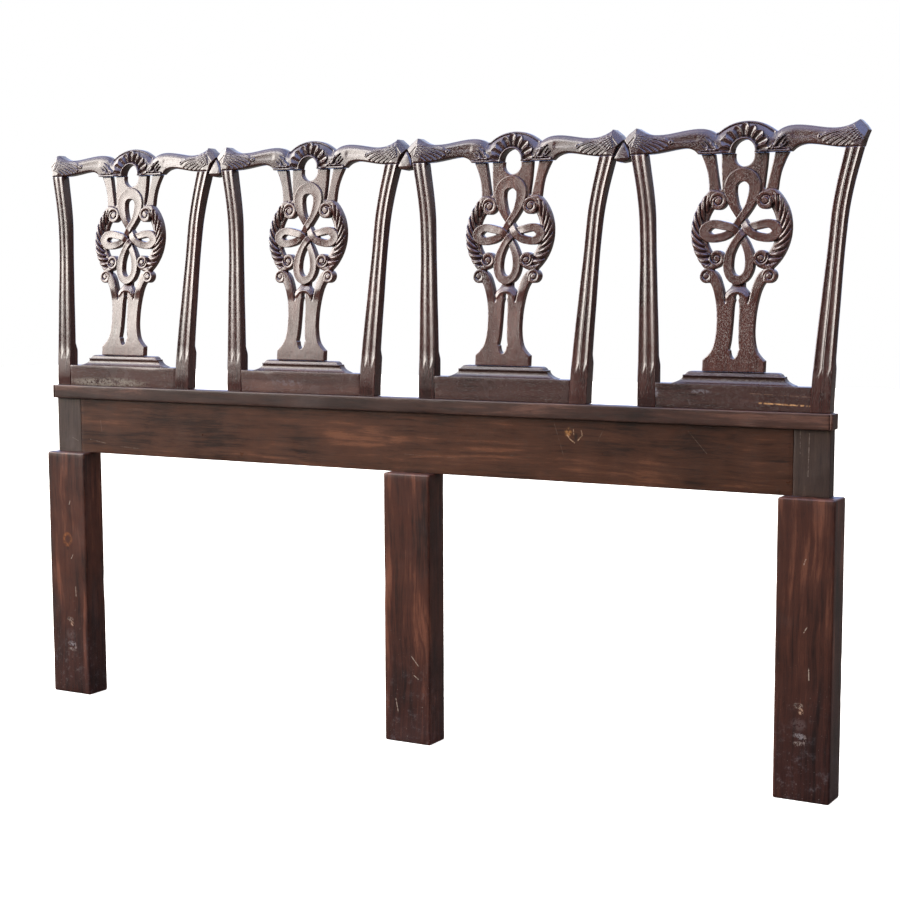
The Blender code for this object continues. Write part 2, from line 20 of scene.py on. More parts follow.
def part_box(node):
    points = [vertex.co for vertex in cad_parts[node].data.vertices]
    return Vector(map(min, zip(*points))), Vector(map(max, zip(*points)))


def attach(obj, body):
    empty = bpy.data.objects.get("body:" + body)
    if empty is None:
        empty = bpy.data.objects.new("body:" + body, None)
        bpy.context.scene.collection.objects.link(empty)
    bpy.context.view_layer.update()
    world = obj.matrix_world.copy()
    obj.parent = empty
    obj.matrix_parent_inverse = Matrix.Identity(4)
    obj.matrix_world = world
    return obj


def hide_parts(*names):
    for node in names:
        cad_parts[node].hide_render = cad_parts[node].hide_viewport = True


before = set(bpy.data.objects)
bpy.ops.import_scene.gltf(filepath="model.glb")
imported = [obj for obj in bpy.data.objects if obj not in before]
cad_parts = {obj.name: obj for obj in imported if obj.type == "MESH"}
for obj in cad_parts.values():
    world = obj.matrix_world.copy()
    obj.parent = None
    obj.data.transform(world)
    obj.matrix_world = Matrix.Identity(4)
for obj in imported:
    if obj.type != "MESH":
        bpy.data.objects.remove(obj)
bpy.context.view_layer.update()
MM = 0.001
FACE_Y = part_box("rail_board")[0].y * 1000.0        # front face of the rail


# ------------------------------------------------------------------ curves and profiles
def catmull(points, closed=False, step=8):
    """Catmull-Rom curve through rows of any number of columns, with step points to each span."""
    points = np.asarray(points, float)
    count = len(points)
    t = (np.arange(step) / step)[:, None]
    spans = []
    for i in range(count if closed else count - 1):
        near = range(i - 1, i + 3)
        if closed:
            p0, p1, p2, p3 = (points[j % count] for j in near)
        else:
            p0, p1, p2, p3 = (points[min(max(j, 0), count - 1)] for j in near)
        spans.append(0.5 * (2 * p1 + (p2 - p0) * t + (2 * p0 - 5 * p1 + 4 * p2 - p3) * t ** 2
                            + (3 * p1 - p0 - 3 * p2 + p3) * t ** 3))
    if not closed:
        spans.append(points[-1][None])
    return np.vstack(spans)


def join_halves(right, left):
    """Closed outline from two halves, both drawn on the +X side from bottom to top."""
    left = np.asarray(left, float)[::-1] * [-1, 1]
    return np.vstack([right, left[np.abs(left[:, 0]) > 1e-6]])


def line_dist(x, z, points, closed=False):
    """Distance to a polyline."""
    points = np.asarray(points, float)
    ends = np.roll(points, -1, 0) if closed else points[1:]
    best = np.full(x.shape, 1e9)
    for (x0, z0), (x1, z1) in zip(points, ends):
        dx, dz = x1 - x0, z1 - z0
        length2 = dx * dx + dz * dz
        if length2 < 1e-12:
            continue
        t = np.clip(((x - x0) * dx + (z - z0) * dz) / length2, 0, 1)
        best = np.minimum(best, (x - x0 - t * dx) ** 2 + (z - z0 - t * dz) ** 2)
    return np.sqrt(best)


def poly_sdf(x, z, loop):
    """Signed distance to a closed polygon, negative inside."""
    inside = np.zeros(x.shape, bool)
    for (x0, z0), (x1, z1) in zip(loop, np.roll(loop, -1, 0)):
        if z1 != z0:
            inside ^= ((z0 > z) != (z1 > z)) & (x < (x1 - x0) * (z - z0) / (z1 - z0) + x0)
    dist = line_dist(x, z, loop, closed=True)
    return np.where(inside, -dist, dist)


def clip01(t):
    return np.clip(t, 0, 1)


def smooth01(t):
    t = clip01(t)
    return t * t * (3 - 2 * t)


def bell(offset, width):
    """Soft bump of height 1 at offset 0."""
    return np.exp(-(offset / width) ** 2)


def dome(t):
    """Half-circle profile: 1 at t = 0, 0 from t = 1."""
    return np.sqrt(clip01(1 - t ** 2))


def quarter(dist, radius):
    """Drop of a rounded edge at a distance in from the edge."""
    return radius * (1 - dome(clip01((radius - dist) / radius)))


# ------------------------------------------------------------------ carved boards
EMPTY = -99.0        # height where nothing is carved
LIP = 0.35           # how far past its outline a carved part lends its height
BLOCK = 6            # cells along a merged face of the back
WALL_LEVELS = 3      # faces from front to back along the outline
BLOCK_RING = np.array([(0, k) for k in range(BLOCK)] + [(k, BLOCK) for k in range(BLOCK)]
                      + [(BLOCK, BLOCK - k) for k in range(BLOCK)]
                      + [(BLOCK - k, 0) for k in range(BLOCK)])[::-1].T


class Relief:
    """A grid with the height of a carving towards the front, and the signed distance to its outline."""

    def __init__(self, x_range, z_range, cell):
        self.cell = cell
        self.x, self.z = np.meshgrid(*(np.arange(low, high + cell / 2, cell)
                                       for low, high in (x_range, z_range)))
        self.side = np.abs(self.x)
        self.height = np.full(self.x.shape, EMPTY)
        self.sdf = np.full(self.x.shape, 60.0)

    def add(self, height, sdf):
        """Join a part: the higher surface wins."""
        self.height = np.maximum(self.height, np.where(sdf < LIP, height, EMPTY))
        self.sdf = np.minimum(self.sdf, sdf)


def corners(grid):
    """Views of a grid at the lower left, upper left, lower right and upper right of each cell."""
    return grid[:-1, :-1], grid[1:, :-1], grid[:-1, 1:], grid[1:, 1:]


def cell_quads(ids, mask):
    low_left, up_left, low_right, up_right = (view[mask] for view in corners(ids))
    return np.stack([low_left, low_right, up_right, up_left], -1)


def neighbour_mean(grid):
    return 0.25 * (np.roll(grid, 1, 0) + np.roll(grid, -1, 0) + np.roll(grid, 1, 1) + np.roll(grid, -1, 1))


def relief_mesh(relief, back_depth, arris=1.2, arris_back=0.8):
    """Closed mesh of a carved board. Its edge nodes are drawn onto the outline, and full blocks of
    cells on the back become single faces."""
    sdf = relief.sdf
    rows, cols = sdf.shape
    cell = relief.x[0, 1] - relief.x[0, 0]

    padded = np.zeros((rows + 1, cols + 1), bool)      # cells with an empty margin
    padded[1:-1, 1:-1] = 0.25 * sum(corners(sdf)) < 0
    low_left, up_left, low_right, up_right = corners(padded)
    for _ in range(4):                                 # fill in where cells touch at a corner only
        rising = low_left & up_right & ~low_right & ~up_left
        falling = low_right & up_left & ~low_left & ~up_right
        low_right[rising] = True
        low_left[falling] = True
    cells = padded[1:-1, 1:-1]
    inner = low_left & up_left & low_right & up_right
    used = low_left | up_left | low_right | up_right
    bound = used & ~inner

    def sample(field, x, z):
        across = np.clip((x - relief.x[0, 0]) / cell, 0, cols - 1.001)
        along = np.clip((z - relief.z[0, 0]) / cell, 0, rows - 1.001)
        i, j = across.astype(int), along.astype(int)
        fx, fz = across - i, along - j
        return (field[j, i] * (1 - fx) * (1 - fz) + field[j, i + 1] * fx * (1 - fz)
                + field[j + 1, i] * (1 - fx) * fz + field[j + 1, i + 1] * fx * fz)

    # step the boundary nodes down the slope of the sdf, by less than a cell in all
    slope_z, slope_x = np.gradient(sdf, cell)
    node_x, node_z = relief.x.copy(), relief.z.copy()
    home_x, home_z = node_x[bound], node_z[bound]
    edge_x, edge_z = home_x, home_z
    for _ in range(4):
        dist, gx, gz = (sample(field, edge_x, edge_z) for field in (sdf, slope_x, slope_z))
        steep = np.maximum(gx ** 2 + gz ** 2, 0.15)
        edge_x, edge_z = edge_x - dist * gx / steep, edge_z - dist * gz / steep
        moved = np.hypot(edge_x - home_x, edge_z - home_z)
        keep = np.minimum(1, 0.95 * cell / np.maximum(moved, 1e-9))
        edge_x, edge_z = home_x + (edge_x - home_x) * keep, home_z + (edge_z - home_z) * keep
    node_x[bound], node_z[bound] = edge_x, edge_z
    near = used & ~bound & (sdf > -2.2 * cell)
    for _ in range(3):                                 # even out the nodes next to the outline
        node_x = np.where(near, 0.5 * node_x + 0.5 * neighbour_mean(node_x), node_x)
        node_z = np.where(near, 0.5 * node_z + 0.5 * neighbour_mean(node_z), node_z)

    inset = np.maximum(-sample(sdf, node_x, node_z), 0)
    inset[bound] = 0
    front_y = sample(-relief.height, node_x, node_z) + quarter(inset, arris)
    back_y = sample(back_depth, node_x, node_z) - quarter(inset, arris_back)
    front_y = np.minimum(front_y, back_y - 1.0)

    verts = []

    def layer(mask, y):
        """Add the masked nodes at depth y and return the vertex number of each."""
        ids = -np.ones(mask.shape, int)
        ids[mask] = sum(map(len, verts)) + np.arange(mask.sum())
        verts.append(np.stack([node_x[mask], y[mask], node_z[mask]], -1))
        return ids

    front = layer(used, front_y)
    single = cells.copy()
    blocks = []
    for j in range(0, rows - 1 - BLOCK, BLOCK):
        for i in range(0, cols - 1 - BLOCK, BLOCK):
            if (cells[j:j + BLOCK, i:i + BLOCK].all()
                    and inner[j:j + BLOCK + 1, i:i + BLOCK + 1].all()):
                single[j:j + BLOCK, i:i + BLOCK] = False
                blocks.append(tuple(BLOCK_RING + [[j], [i]]))
    need = np.zeros((rows, cols), bool)
    for view in corners(need):
        view[single] = True
    for ring in blocks:
        need[ring] = True
    back = layer(need, back_y)
    quads = [cell_quads(front, cells), cell_quads(back, single)[:, ::-1]]

    walls = [front]
    for k in range(1, WALL_LEVELS):
        t = k / WALL_LEVELS
        walls.append(layer(bound, front_y * (1 - t) + back_y * t))
    walls.append(back)
    above, below = padded[1:, 1:-1], padded[:-1, 1:-1]
    right, left = padded[1:-1, 1:], padded[1:-1, :-1]
    edges = []                                         # start and end node of every outline edge
    for mask, (j0, i0), (j1, i1) in ((above & ~below, (0, 0), (0, 1)), (below & ~above, (0, 1), (0, 0)),
                                     (right & ~left, (1, 0), (0, 0)), (left & ~right, (0, 0), (1, 0))):
        j, i = np.nonzero(mask)
        edges.append(((j + j0, i + i0), (j + j1, i + i1)))
    for fore, rear in zip(walls[:-1], walls[1:]):
        for start, end in edges:
            quads.append(np.stack([fore[start], rear[start], rear[end], fore[end]], -1))
    return np.vstack(verts), [np.vstack(quads)] + [back[ring] for ring in blocks]


# ------------------------------------------------------------------ the pierced splat
# Ribbon centreline: x, z, width, height of its face on the way down, and on the mirrored way back up.
# It passes over at one crossing and under at the next.
KNOT = [
    (0, 1253.8, 27.0, 1.8, 1.8), (14, 1249.8, 26.5, 1.8, 1.8), (24, 1239, 25.5, 1.8, 1.8),
    (26.2, 1224.5, 24.5, 1.8, 1.8), (22.6, 1208, 21.5, 2.0, 1.8), (16.5, 1192, 18.0, 2.6, 1.4),
    (8.6, 1178.5, 16.2, 3.4, 0.4), (0, 1166.3, 15.6, 3.8, -0.8), (-7.4, 1156, 15.6, 1.4, 1.4),
    (-14, 1145.6, 15.6, -0.8, 3.8), (-25, 1135.4, 16.2, 0.2, 3.5), (-36, 1130.2, 17.0, 1.4, 3.0),
    (-46, 1128.0, 17.4, 1.8, 2.4), (-58, 1126.6, 17.4, 1.8, 1.9), (-70, 1130.2, 19.6, 1.8, 1.8),
    (-77.4, 1140.8, 22.0, 1.8, 1.8), (-70, 1151.4, 19.6, 1.8, 1.8), (-58, 1155.4, 17.2, 1.9, 1.8),
    (-46, 1154.0, 17.6, 2.4, 1.8), (-36, 1151.8, 17.2, 3.0, 1.4), (-25, 1149.6, 16.4, 3.5, 0.2),
    (-14, 1145.6, 15.6, 3.8, -0.8), (-7, 1139, 15.6, 1.4, 1.4), (0, 1131.4, 15.6, -0.8, 3.8),
    (8, 1121, 16.0, 0.4, 3.4), (15, 1108.4, 17.0, 1.4, 2.6), (20.6, 1094, 18.4, 1.8, 2.0),
    (23, 1078, 19.4, 1.8, 1.8), (21.4, 1061.6, 19.0, 1.8, 1.8), (13.4, 1047.6, 18.6, 1.8, 1.8),
    (0, 1042.4, 18.6, 1.8, 1.8)]

# outlines as x, z
WAIST = [(66, 881), (57, 889), (48.3, 900), (43.2, 915), (40.4, 934), (40, 955), (41.2, 977), (44.5, 1000),
         (49, 1019), (54.5, 1032), (60, 1039)]
FORK_INSIDE = [(27.0, 1012), (28.5, 1018), (31, 1027), (34.5, 1037), (39.5, 1048.5), (46, 1057.5),
               (53, 1062.5), (60, 1064.5)]
FOOT_ARCH = [(27.0, 1012), (24.5, 1017.5), (20.0, 1022.5), (16.0, 1026.5), (14.2, 1031), (14.5, 1040)]
STRAP_CUT = [(23.5, 994), (25.2, 1004), (27.2, 1013), (29.5, 1021)]
KEYHOLE = [(0, 884.5), (3.4, 886.2), (6.8, 891.5), (8.6, 897.5), (9.0, 900.5), (11.4, 903.6), (10.6, 908.5),
           (8.9, 920), (7.8, 940), (7.1, 960), (6.7, 980), (6.3, 991), (5.2, 998), (4.0, 1002), (5.2, 1006.5),
           (4.2, 1012), (0, 1014.6)]
TOP_INSIDE = [(0, 1253.8), (14, 1249.5), (24, 1238), (26, 1224), (31, 1212), (40, 1204), (52, 1202)]
TOP_OUTSIDE = [(70, 1214), (72.3, 1224), (74, 1242), (77.5, 1260), (83.5, 1277), (90, 1291), (95, 1300)]
SLOT_INSIDE = [(49, 1301), (47.2, 1262), (44.6, 1232), (44.4, 1226.5)]
SLOT_OUTSIDE = [(47, 1223.6), (49.8, 1226.5), (51.2, 1232), (57.5, 1262), (65.2, 1301)]
# tails that carry the crescents into their scrolls: x, z, radius
TAILS = [[(80, 1216, 3), (72, 1216.4, 6.5), (63, 1218.2, 6.2), (54, 1217.6, 5.6)],
         [(88, 1078, 3), (77, 1071.8, 5.5), (65, 1068.6, 5.6), (53, 1069.6, 5.2), (43, 1073, 4.6)]]
# scrolls, two on each crescent and one on each fork: x, z, radius, start of the groove in degrees, turn
SCROLLS = [(50, 1202, 18.4, -42, 1), (47, 1086, 16.4, 42, -1), (66.4, 1051, 14.8, -138, -1)]

RING_Z, RING_OUTER, RING_INNER = 1143.5, 106, 75
SPLAT_LOW, SPLAT_HIGH = 858.3, 1296.7


def carve_foot(relief):
    """Foot, waist and the two straps that fork from it, with a rounded arch between them."""
    x, z, side = relief.x, relief.z, relief.side
    half = np.vstack([[(0, 854), (66, 854)], catmull(WAIST), [(66, 1046), (66, 1060)],
                      catmull(FORK_INSIDE)[::-1], catmull(FOOT_ARCH)[1:], [(0, 1040)]])
    rise = smooth01((z - 992) / 34)
    above = np.clip(z - 1000, 0, 60)
    # the fork stands proud of the arch, with a crowned face
    height = 0.25 + 1.9 * rise * smooth01((side - 25.5 - 0.16 * above) / 3.0)
    height += 0.7 * rise * (1 - clip01(np.abs(side - (39 + 0.32 * above)) / 16) ** 2) * (side > 24)
    # a cut between them dies out down the waist
    height -= 2.6 * bell(line_dist(side, z, catmull(STRAP_CUT)), 1.3) * smooth01((z - 993) / 8)
    # the arch's rounded top rolls back under the ribbon, behind a soft ridge
    crown = np.hypot(x * 0.80, z - 1003.0)
    height -= 6.2 * clip01((crown - 17.2) / 15.0) ** 1.25 * (side < 26.5) * smooth01((z - 1008) / 6)
    height += 1.2 * bell(crown - 15.4, 2.4) * (side < 25) * smooth01((z - 1000) / 10)
    # slight hollow of the waist
    height -= 0.5 * bell(z - 950, 34) * clip01(1 - (side / 45) ** 2)
    relief.add(height, poly_sdf(x, z, join_halves(half, half)))


def carve_ring(relief):
    """The two crescents of the ring with their gadroons, and the tails at their ends."""
    z, side = relief.z, relief.side
    radius = np.hypot(relief.x, z - RING_Z)
    angle = np.degrees(np.arctan2(z - RING_Z, side))
    past_end = np.maximum(angle - 46.5, -48 - angle) * 1.7
    relief.add(-3.4 - 0.6 * clip01((RING_INNER + 5 - radius) / 5),
               np.maximum(np.maximum(radius - RING_OUTER, RING_INNER - radius), past_end))

    inset = RING_OUTER - radius
    pitch_degrees, mid_radius = 10.7, 92.0
    travel = np.radians(52 - angle) * mid_radius                     # down the ring
    lean = np.interp(angle, [-48, -36, -20, 0, 20, 46], [0.55, 0.75, 1.2, 1.6, 1.55, 1.25])
    phase = (travel - lean * inset + 4.0) / (math.radians(pitch_degrees) * mid_radius)
    phase = phase - np.floor(phase)
    length = 24.5 - 6.5 * (2 * phase - 0.95) ** 2                    # rounded inner ends
    lobe = np.sin(np.pi * phase ** 0.72) ** 0.75                     # steep on one side, full on the other
    swell = clip01(1 - (2 * inset / length - 0.86) ** 2 / 1.30) ** 0.5
    height = -3.6 + 7.4 * swell * (0.30 + 0.70 * lobe) + 0.5 * lobe
    height -= 0.9 * bell(phase - 0.36, 0.07) * swell                 # vein on each leaf
    relief.add(height, np.maximum(np.maximum(radius - RING_OUTER, inset - length), past_end))

    for stations in TAILS:
        for mid_x, mid_z, thick in catmull(stations, step=10):
            dist = np.hypot(side - mid_x, z - mid_z)
            edge = np.maximum(np.minimum(thick - dist, RING_OUTER - radius), 0)
            inside = (dist < thick) & (radius < RING_OUTER + 0.3)
            relief.add(np.where(inside, 3.1 - quarter(edge, 3.0), EMPTY),
                       np.maximum(dist - thick, radius - RING_OUTER))


def carve_scroll(relief, mid_x, mid_z, radius, start, turn):
    """Scroll end: a disc with a groove that winds one and a half turns into its eye."""
    dx, dz = relief.side - mid_x, relief.z - mid_z
    dist = np.hypot(dx, dz)
    crown = 3.6 - quarter(radius - dist, 1.5) - 0.15 * (dist / radius) ** 2
    total = 3.0 * math.pi
    first = np.mod((np.arctan2(dz, dx) - math.radians(start)) * turn, 2 * math.pi)
    groove = np.zeros_like(dist)
    for coil in (0, 1):
        travel = first + 2 * math.pi * coil
        line = radius * (0.30 + 0.31 * (1 - travel / total) + 0.39 * np.exp(-travel / 0.8))
        width = 1.15 - 0.30 * travel / total
        depth = (3.9 - 1.9 * travel / total) * smooth01((total - travel) / 1.6)
        groove = np.maximum(groove, depth * np.exp(-np.abs((dist - line) / width) ** 2.4))
        # each coil leans very slightly down towards the one inside it
        lean = 0.45 * clip01(1 - np.abs(dist - line - 1.4) / 3.2) * (travel < total)
        groove = np.maximum(groove, lean)
    sdf = dist - radius
    relief.add(np.where(sdf < 0, crown - groove, EMPTY), sdf)


def carve_ribbon(relief, edge=1.3):
    """Flat ribbon swept along the knot; it hides what lies under it."""
    x, z, cell = relief.x, relief.z, relief.cell
    knot = np.array(KNOT)
    back_up = knot[-2:0:-1][:, [0, 1, 2, 4]] * [-1, 1, 1, 1]
    path = catmull(np.vstack([knot[:, :4], back_up]), closed=True, step=24)
    height = np.full(x.shape, EMPTY)
    sdf = np.full(x.shape, 60.0)
    for station, before, after in zip(path, np.roll(path, 1, 0), np.roll(path, -1, 0)):
        mid_x, mid_z, width, face = station
        half, reach = width / 2, width / 2 + 6
        window = tuple(slice(max(int((mid - reach - origin) / cell), 0),
                             int((mid + reach - origin) / cell) + 2)
                       for mid, origin in ((mid_z, z[0, 0]), (mid_x, x[0, 0])))
        dx, dz = x[window] - mid_x, z[window] - mid_z
        chord = after[:2] - before[:2]
        length = math.hypot(*chord)
        chord = chord / length
        sdf[window] = np.minimum(sdf[window], np.hypot(dx, dz) - half)
        along = np.abs(dx * chord[0] + dz * chord[1])
        across = np.abs(-dx * chord[1] + dz * chord[0])
        inside = (along < length / 2 * 1.6 + 0.35) & (across < half + 0.2)
        surface = face - quarter(np.maximum(half - across, 0), edge) + 0.35 * clip01(across / half) ** 2
        height[window] = np.maximum(height[window], np.where(inside, surface, EMPTY))
    relief.height = np.where((sdf < LIP) & (height > EMPTY), height, relief.height)
    relief.sdf = np.minimum(relief.sdf, sdf)


def grow_heights(relief):
    """Carry the heights outwards so that cells on the outline have a value."""
    height = relief.height
    for _ in range(4):
        total, count = np.zeros_like(height), np.zeros_like(height)
        for shift in ((1, 0), (-1, 0), (0, 1), (0, -1)):
            moved = np.roll(height, shift, (0, 1))
            known = moved > EMPTY
            total += np.where(known, moved, 0)
            count += known
        height = np.where((height == EMPTY) & (count > 0), total / np.maximum(count, 1), height)
    relief.height = np.where(height == EMPTY, -3, height)


def splat_relief():
    relief = Relief((-112, 112), (852, 1308), cell=1.0)
    x, z, side = relief.x, relief.z, relief.side
    carve_foot(relief)
    carve_ring(relief)
    for scroll in SCROLLS:
        carve_scroll(relief, *scroll)
    top = np.vstack([TOP_INSIDE, catmull(TOP_OUTSIDE), [(95, 1306), (0, 1306)]])
    relief.add(-1.2, poly_sdf(x, z, join_halves(top, top)))          # straps above the ring
    carve_ribbon(relief)

    # openings: keyhole, two slots, and the round eye shared with the crest
    key = catmull(KEYHOLE, step=6)
    slot = np.vstack([catmull(SLOT_INSIDE, step=6), catmull(SLOT_OUTSIDE, step=6)])
    eye = np.hypot(x, z - 1291) - 21.0
    relief.sdf = np.maximum(np.maximum(relief.sdf, -poly_sdf(x, z, join_halves(key, key))),
                            np.maximum(-poly_sdf(side, z, slot), -eye))
    grow_heights(relief)
    relief.sdf = np.maximum(np.maximum(relief.sdf, z - SPLAT_HIGH), SPLAT_LOW - z)
    return relief


# ------------------------------------------------------------------ the crest rail
# outlines as x, z
CREST_LOW = [(98, 1297), (101, 1300), (107, 1304.6), (116, 1308.6), (130, 1310.6), (150, 1308.8),
             (170, 1305.6), (190, 1302.6), (209, 1301), (244, 1301)]
EARS = {"end": [(248.0, 1317), (253.5, 1333), (245.5, 1343.5), (234.5, 1354.3)],
        "inner": [(248.5, 1317), (263.4, 1332.5), (253.5, 1343.8), (237.5, 1355.6)]}
CREST_TOP = [(235.5, 1354.8), (227, 1350), (216, 1344.8), (204, 1341.4), (190, 1340.2), (170, 1341.2),
             (150, 1344.2), (130, 1347.4), (108, 1349.6), (90, 1348.8), (76, 1344.8), (65, 1338.4)]
CREST_ARCH = [(60, 1341.2), (50, 1347.8), (36, 1355), (20, 1359.8), (0, 1361.8), (-20, 1359.8)]

SHELL_Z = 1300
SHELL_RADII = [54.0, 55.5, 55.5, 55.5, 58.0, 55.5, 55.5, 55.5, 54.0]
SHELL_EDGES = [-93.5, -74.2, -53.7, -32.2, -10.7, 10.7, 32.2, 53.7, 74.2, 93.5]       # degrees from upright
# leaves beside the shell: base x, z, tip x, z, base and tip radius, height, bend, depth of the vein
SPRAY = [(60, 1305, 84, 1330, 4.2, 1.3, 4.6, 2.0, 0.35), (68, 1304, 92, 1317, 3.6, 1.2, 3.8, -2.0, 0.35),
         (64, 1309, 70, 1325, 3.2, 1.0, 3.6, -1.5, 0.3), (76, 1307, 87, 1323, 3.0, 1.0, 3.4, 1.5, 0.3),
         (55, 1306, 60, 1312, 3.4, 2.4, 3.6, 0.0, 0.0), (60, 1303.8, 96, 1302.2, 2.2, 1.0, 2.6, 1.6, 0.0)]
# acanthus lobes of the ear: base x, z, tip x, z, bend, base radius, height
LOBES = [(233, 1342.5, 186, 1336.5, -2.0, 2.6, 1.1), (234, 1340, 171, 1331.5, -3.0, 3.0, 1.5),
         (235, 1336.5, 162, 1324.5, -4.5, 3.4, 1.9), (236, 1332.5, 168, 1315.5, -5.0, 3.4, 2.0),
         (237, 1329, 176, 1309.0, -5.0, 3.3, 2.0), (238, 1325.5, 187, 1305.0, -4.5, 3.2, 1.9),
         (239, 1322, 200, 1303.6, -3.5, 3.0, 1.7), (240, 1318.5, 214, 1303.4, -2.5, 2.8, 1.4)]


def petal(x, z, x0, z0, x1, z1, base_radius, tip_radius, height, bend, vein):
    """Height of a tapered, domed leaf lobe from its base (x0, z0) to its tip (x1, z1); 0 outside."""
    length = math.hypot(x1 - x0, z1 - z0)
    ux, uz = (x1 - x0) / length, (z1 - z0) / length
    t = ((x - x0) * ux + (z - z0) * uz) / length
    inside = clip01(t)
    off = (x - x0) * -uz + (z - z0) * ux - bend * inside * (1 - inside) * 4
    over = np.abs(t - inside) * length
    radius = base_radius + (tip_radius - base_radius) * inside ** 1.3
    rounded = dome(np.sqrt(off ** 2 + over ** 2) / radius)
    return height * (rounded * (1 - vein * bell(off, 0.22 * radius)))


def arms_and_arch(x, z, side, top, arch, low):
    """Height of the plain crest: two long arms and the arch between them."""
    dist_top = line_dist(side, z, top)
    dist_arch = line_dist(side, z, arch)
    upper = np.vstack([arch[::-1], top[::-1]])
    top_z = np.interp(side, upper[:, 0], upper[:, 1])
    height = np.zeros(x.shape)
    # arms: the upper part rolls back, the lower edge is softly rounded
    arm = smooth01((side - 60) / 6)
    height -= arm * 0.6 * quarter(dist_top, 15.0) * (side < 236)
    height -= 0.6 * quarter(line_dist(side, z, low[:-1]), 5.0) * smooth01((side - 100) / 8)
    height -= arm * 0.13 * np.clip(1322.0 - z, 0, 20) * smooth01((230 - side) / 14)
    # slight hollow along the middle of each arm
    height -= (0.7 * bell(z - 0.5 * (top_z + 1306), 7.0) * smooth01((side - 96) / 10)
               * smooth01((172 - side) / 14))
    # arch: cavetto that leans back under a thin bead
    in_arch = smooth01((64 - side) / 4)
    height -= in_arch * 8.2 * (1 - clip01(dist_arch / 17.0)) ** 1.45
    height += in_arch * (2.3 * dome((dist_arch - 1.7) / 1.9) - 0.9 * bell(dist_arch - 4.6, 1.1))
    # a ball in each notch, and the flank below it that swells out to the arm
    ball = np.hypot(side - 62, z - 1337.2)
    height = np.maximum(height, np.where(ball > 4.6, EMPTY, -8.4 + 5.2 * dome(ball / 4.6)))
    return height - 2.2 * bell(side - 60, 9.0) * smooth01((z - 1318) / 14)


def add_shell(height, x, z, side):
    """Nine scooped flutes round the eye, with a rim, curled ends and a fillet along the foot."""
    angle = np.degrees(np.arctan2(x, z - SHELL_Z))
    dist = np.hypot(x, z - SHELL_Z)
    shell = np.full(x.shape, EMPTY)
    for low, high, tip in zip(SHELL_EDGES[:-1], SHELL_EDGES[1:], SHELL_RADII):
        t = (angle - 0.5 * (low + high)) / (0.5 * (high - low))
        radius = tip - 8.0 * np.abs(t) ** 1.8
        out = clip01((dist - 27) / (radius - 27))
        scoop = clip01(1 - t ** 2) ** 0.9 * (1.2 + 3.5 * np.sin(np.pi * clip01(out * 0.86 + 0.04)) ** 0.8)
        flute = 2.0 + 3.4 * smooth01(out * 1.6) - scoop + 1.2 * out
        flute = flute - quarter(np.maximum(radius - dist, 0), 1.6)
        inside = (angle >= low) & (angle < high) & (dist < radius) & (z > SHELL_Z - 1)
        shell = np.where(inside, flute, shell)
    height = np.where(shell > EMPTY, shell + 0.12 * np.minimum(np.maximum(height, shell), 0), height)

    over_eye = np.degrees(np.arctan2(z - SHELL_Z, side)) > -6
    height -= 1.6 * bell(dist - 31.0, 1.1) * over_eye
    off_rim = (dist - 26.6) / 3.0
    height = np.where((np.abs(off_rim) < 1) & over_eye,
                      np.maximum(height, -0.4 + 5.2 * dome(off_rim)), height)
    curl = np.hypot(side - 25.4, z - 1298.6)
    curl_height = 0.4 + 4.2 * dome(curl / 4.6) - 1.2 * bell(curl - 2.4, 0.8)
    height = np.where(curl < 4.6, np.maximum(height, curl_height), height)
    fillet = (z < 1301.6) & (side > 26) & (side < 97)
    height = np.where(fillet, np.maximum(height, 2.3 - quarter(np.maximum(1301.6 - z, 0), 1.6)), height)
    return height - 1.0 * bell(z - 1302.6, 0.9) * (side > 30) * (side < 96)


def ear_leaves(z, side):
    """Shallow acanthus that fans in from the corner, each lobe lapped by the next and cut with a vein."""
    leaves = np.zeros(z.shape)
    for x0, z0, x1, z1, bend, radius, height in LOBES:
        lobe = petal(side, z, x0, z0, x1, z1, radius, 2.9, height, bend, vein=0.55)
        leaves = np.where(lobe > leaves * 0.8, np.maximum(lobe, leaves * 0.55), leaves)
        # a curled tip on the lower side of every lobe
        curl = np.hypot(side - x1 + 0.5, z - z1 + 0.6)
        leaves = np.where(curl < 3.4, np.maximum(leaves, height * 0.9 * dome(curl / 3.4)), leaves)
    swirl = np.hypot(side - 157.5, z - 1323.5)
    leaves = np.where(swirl < 5.0, np.maximum(leaves, 2.2 * dome((swirl - 3.0) / 2.0)), leaves)
    leaves -= 0.9 * bell(swirl, 1.2)
    # fine lines that radiate from the corner
    fan = np.degrees(np.arctan2(1352.0 - z, 262.0 - side))
    lines = np.abs(np.sin(np.radians(fan * 26.0)))
    return leaves + 0.70 * (lines - 0.5) * (leaves > 0.25) * smooth01((side - 170) / 15)


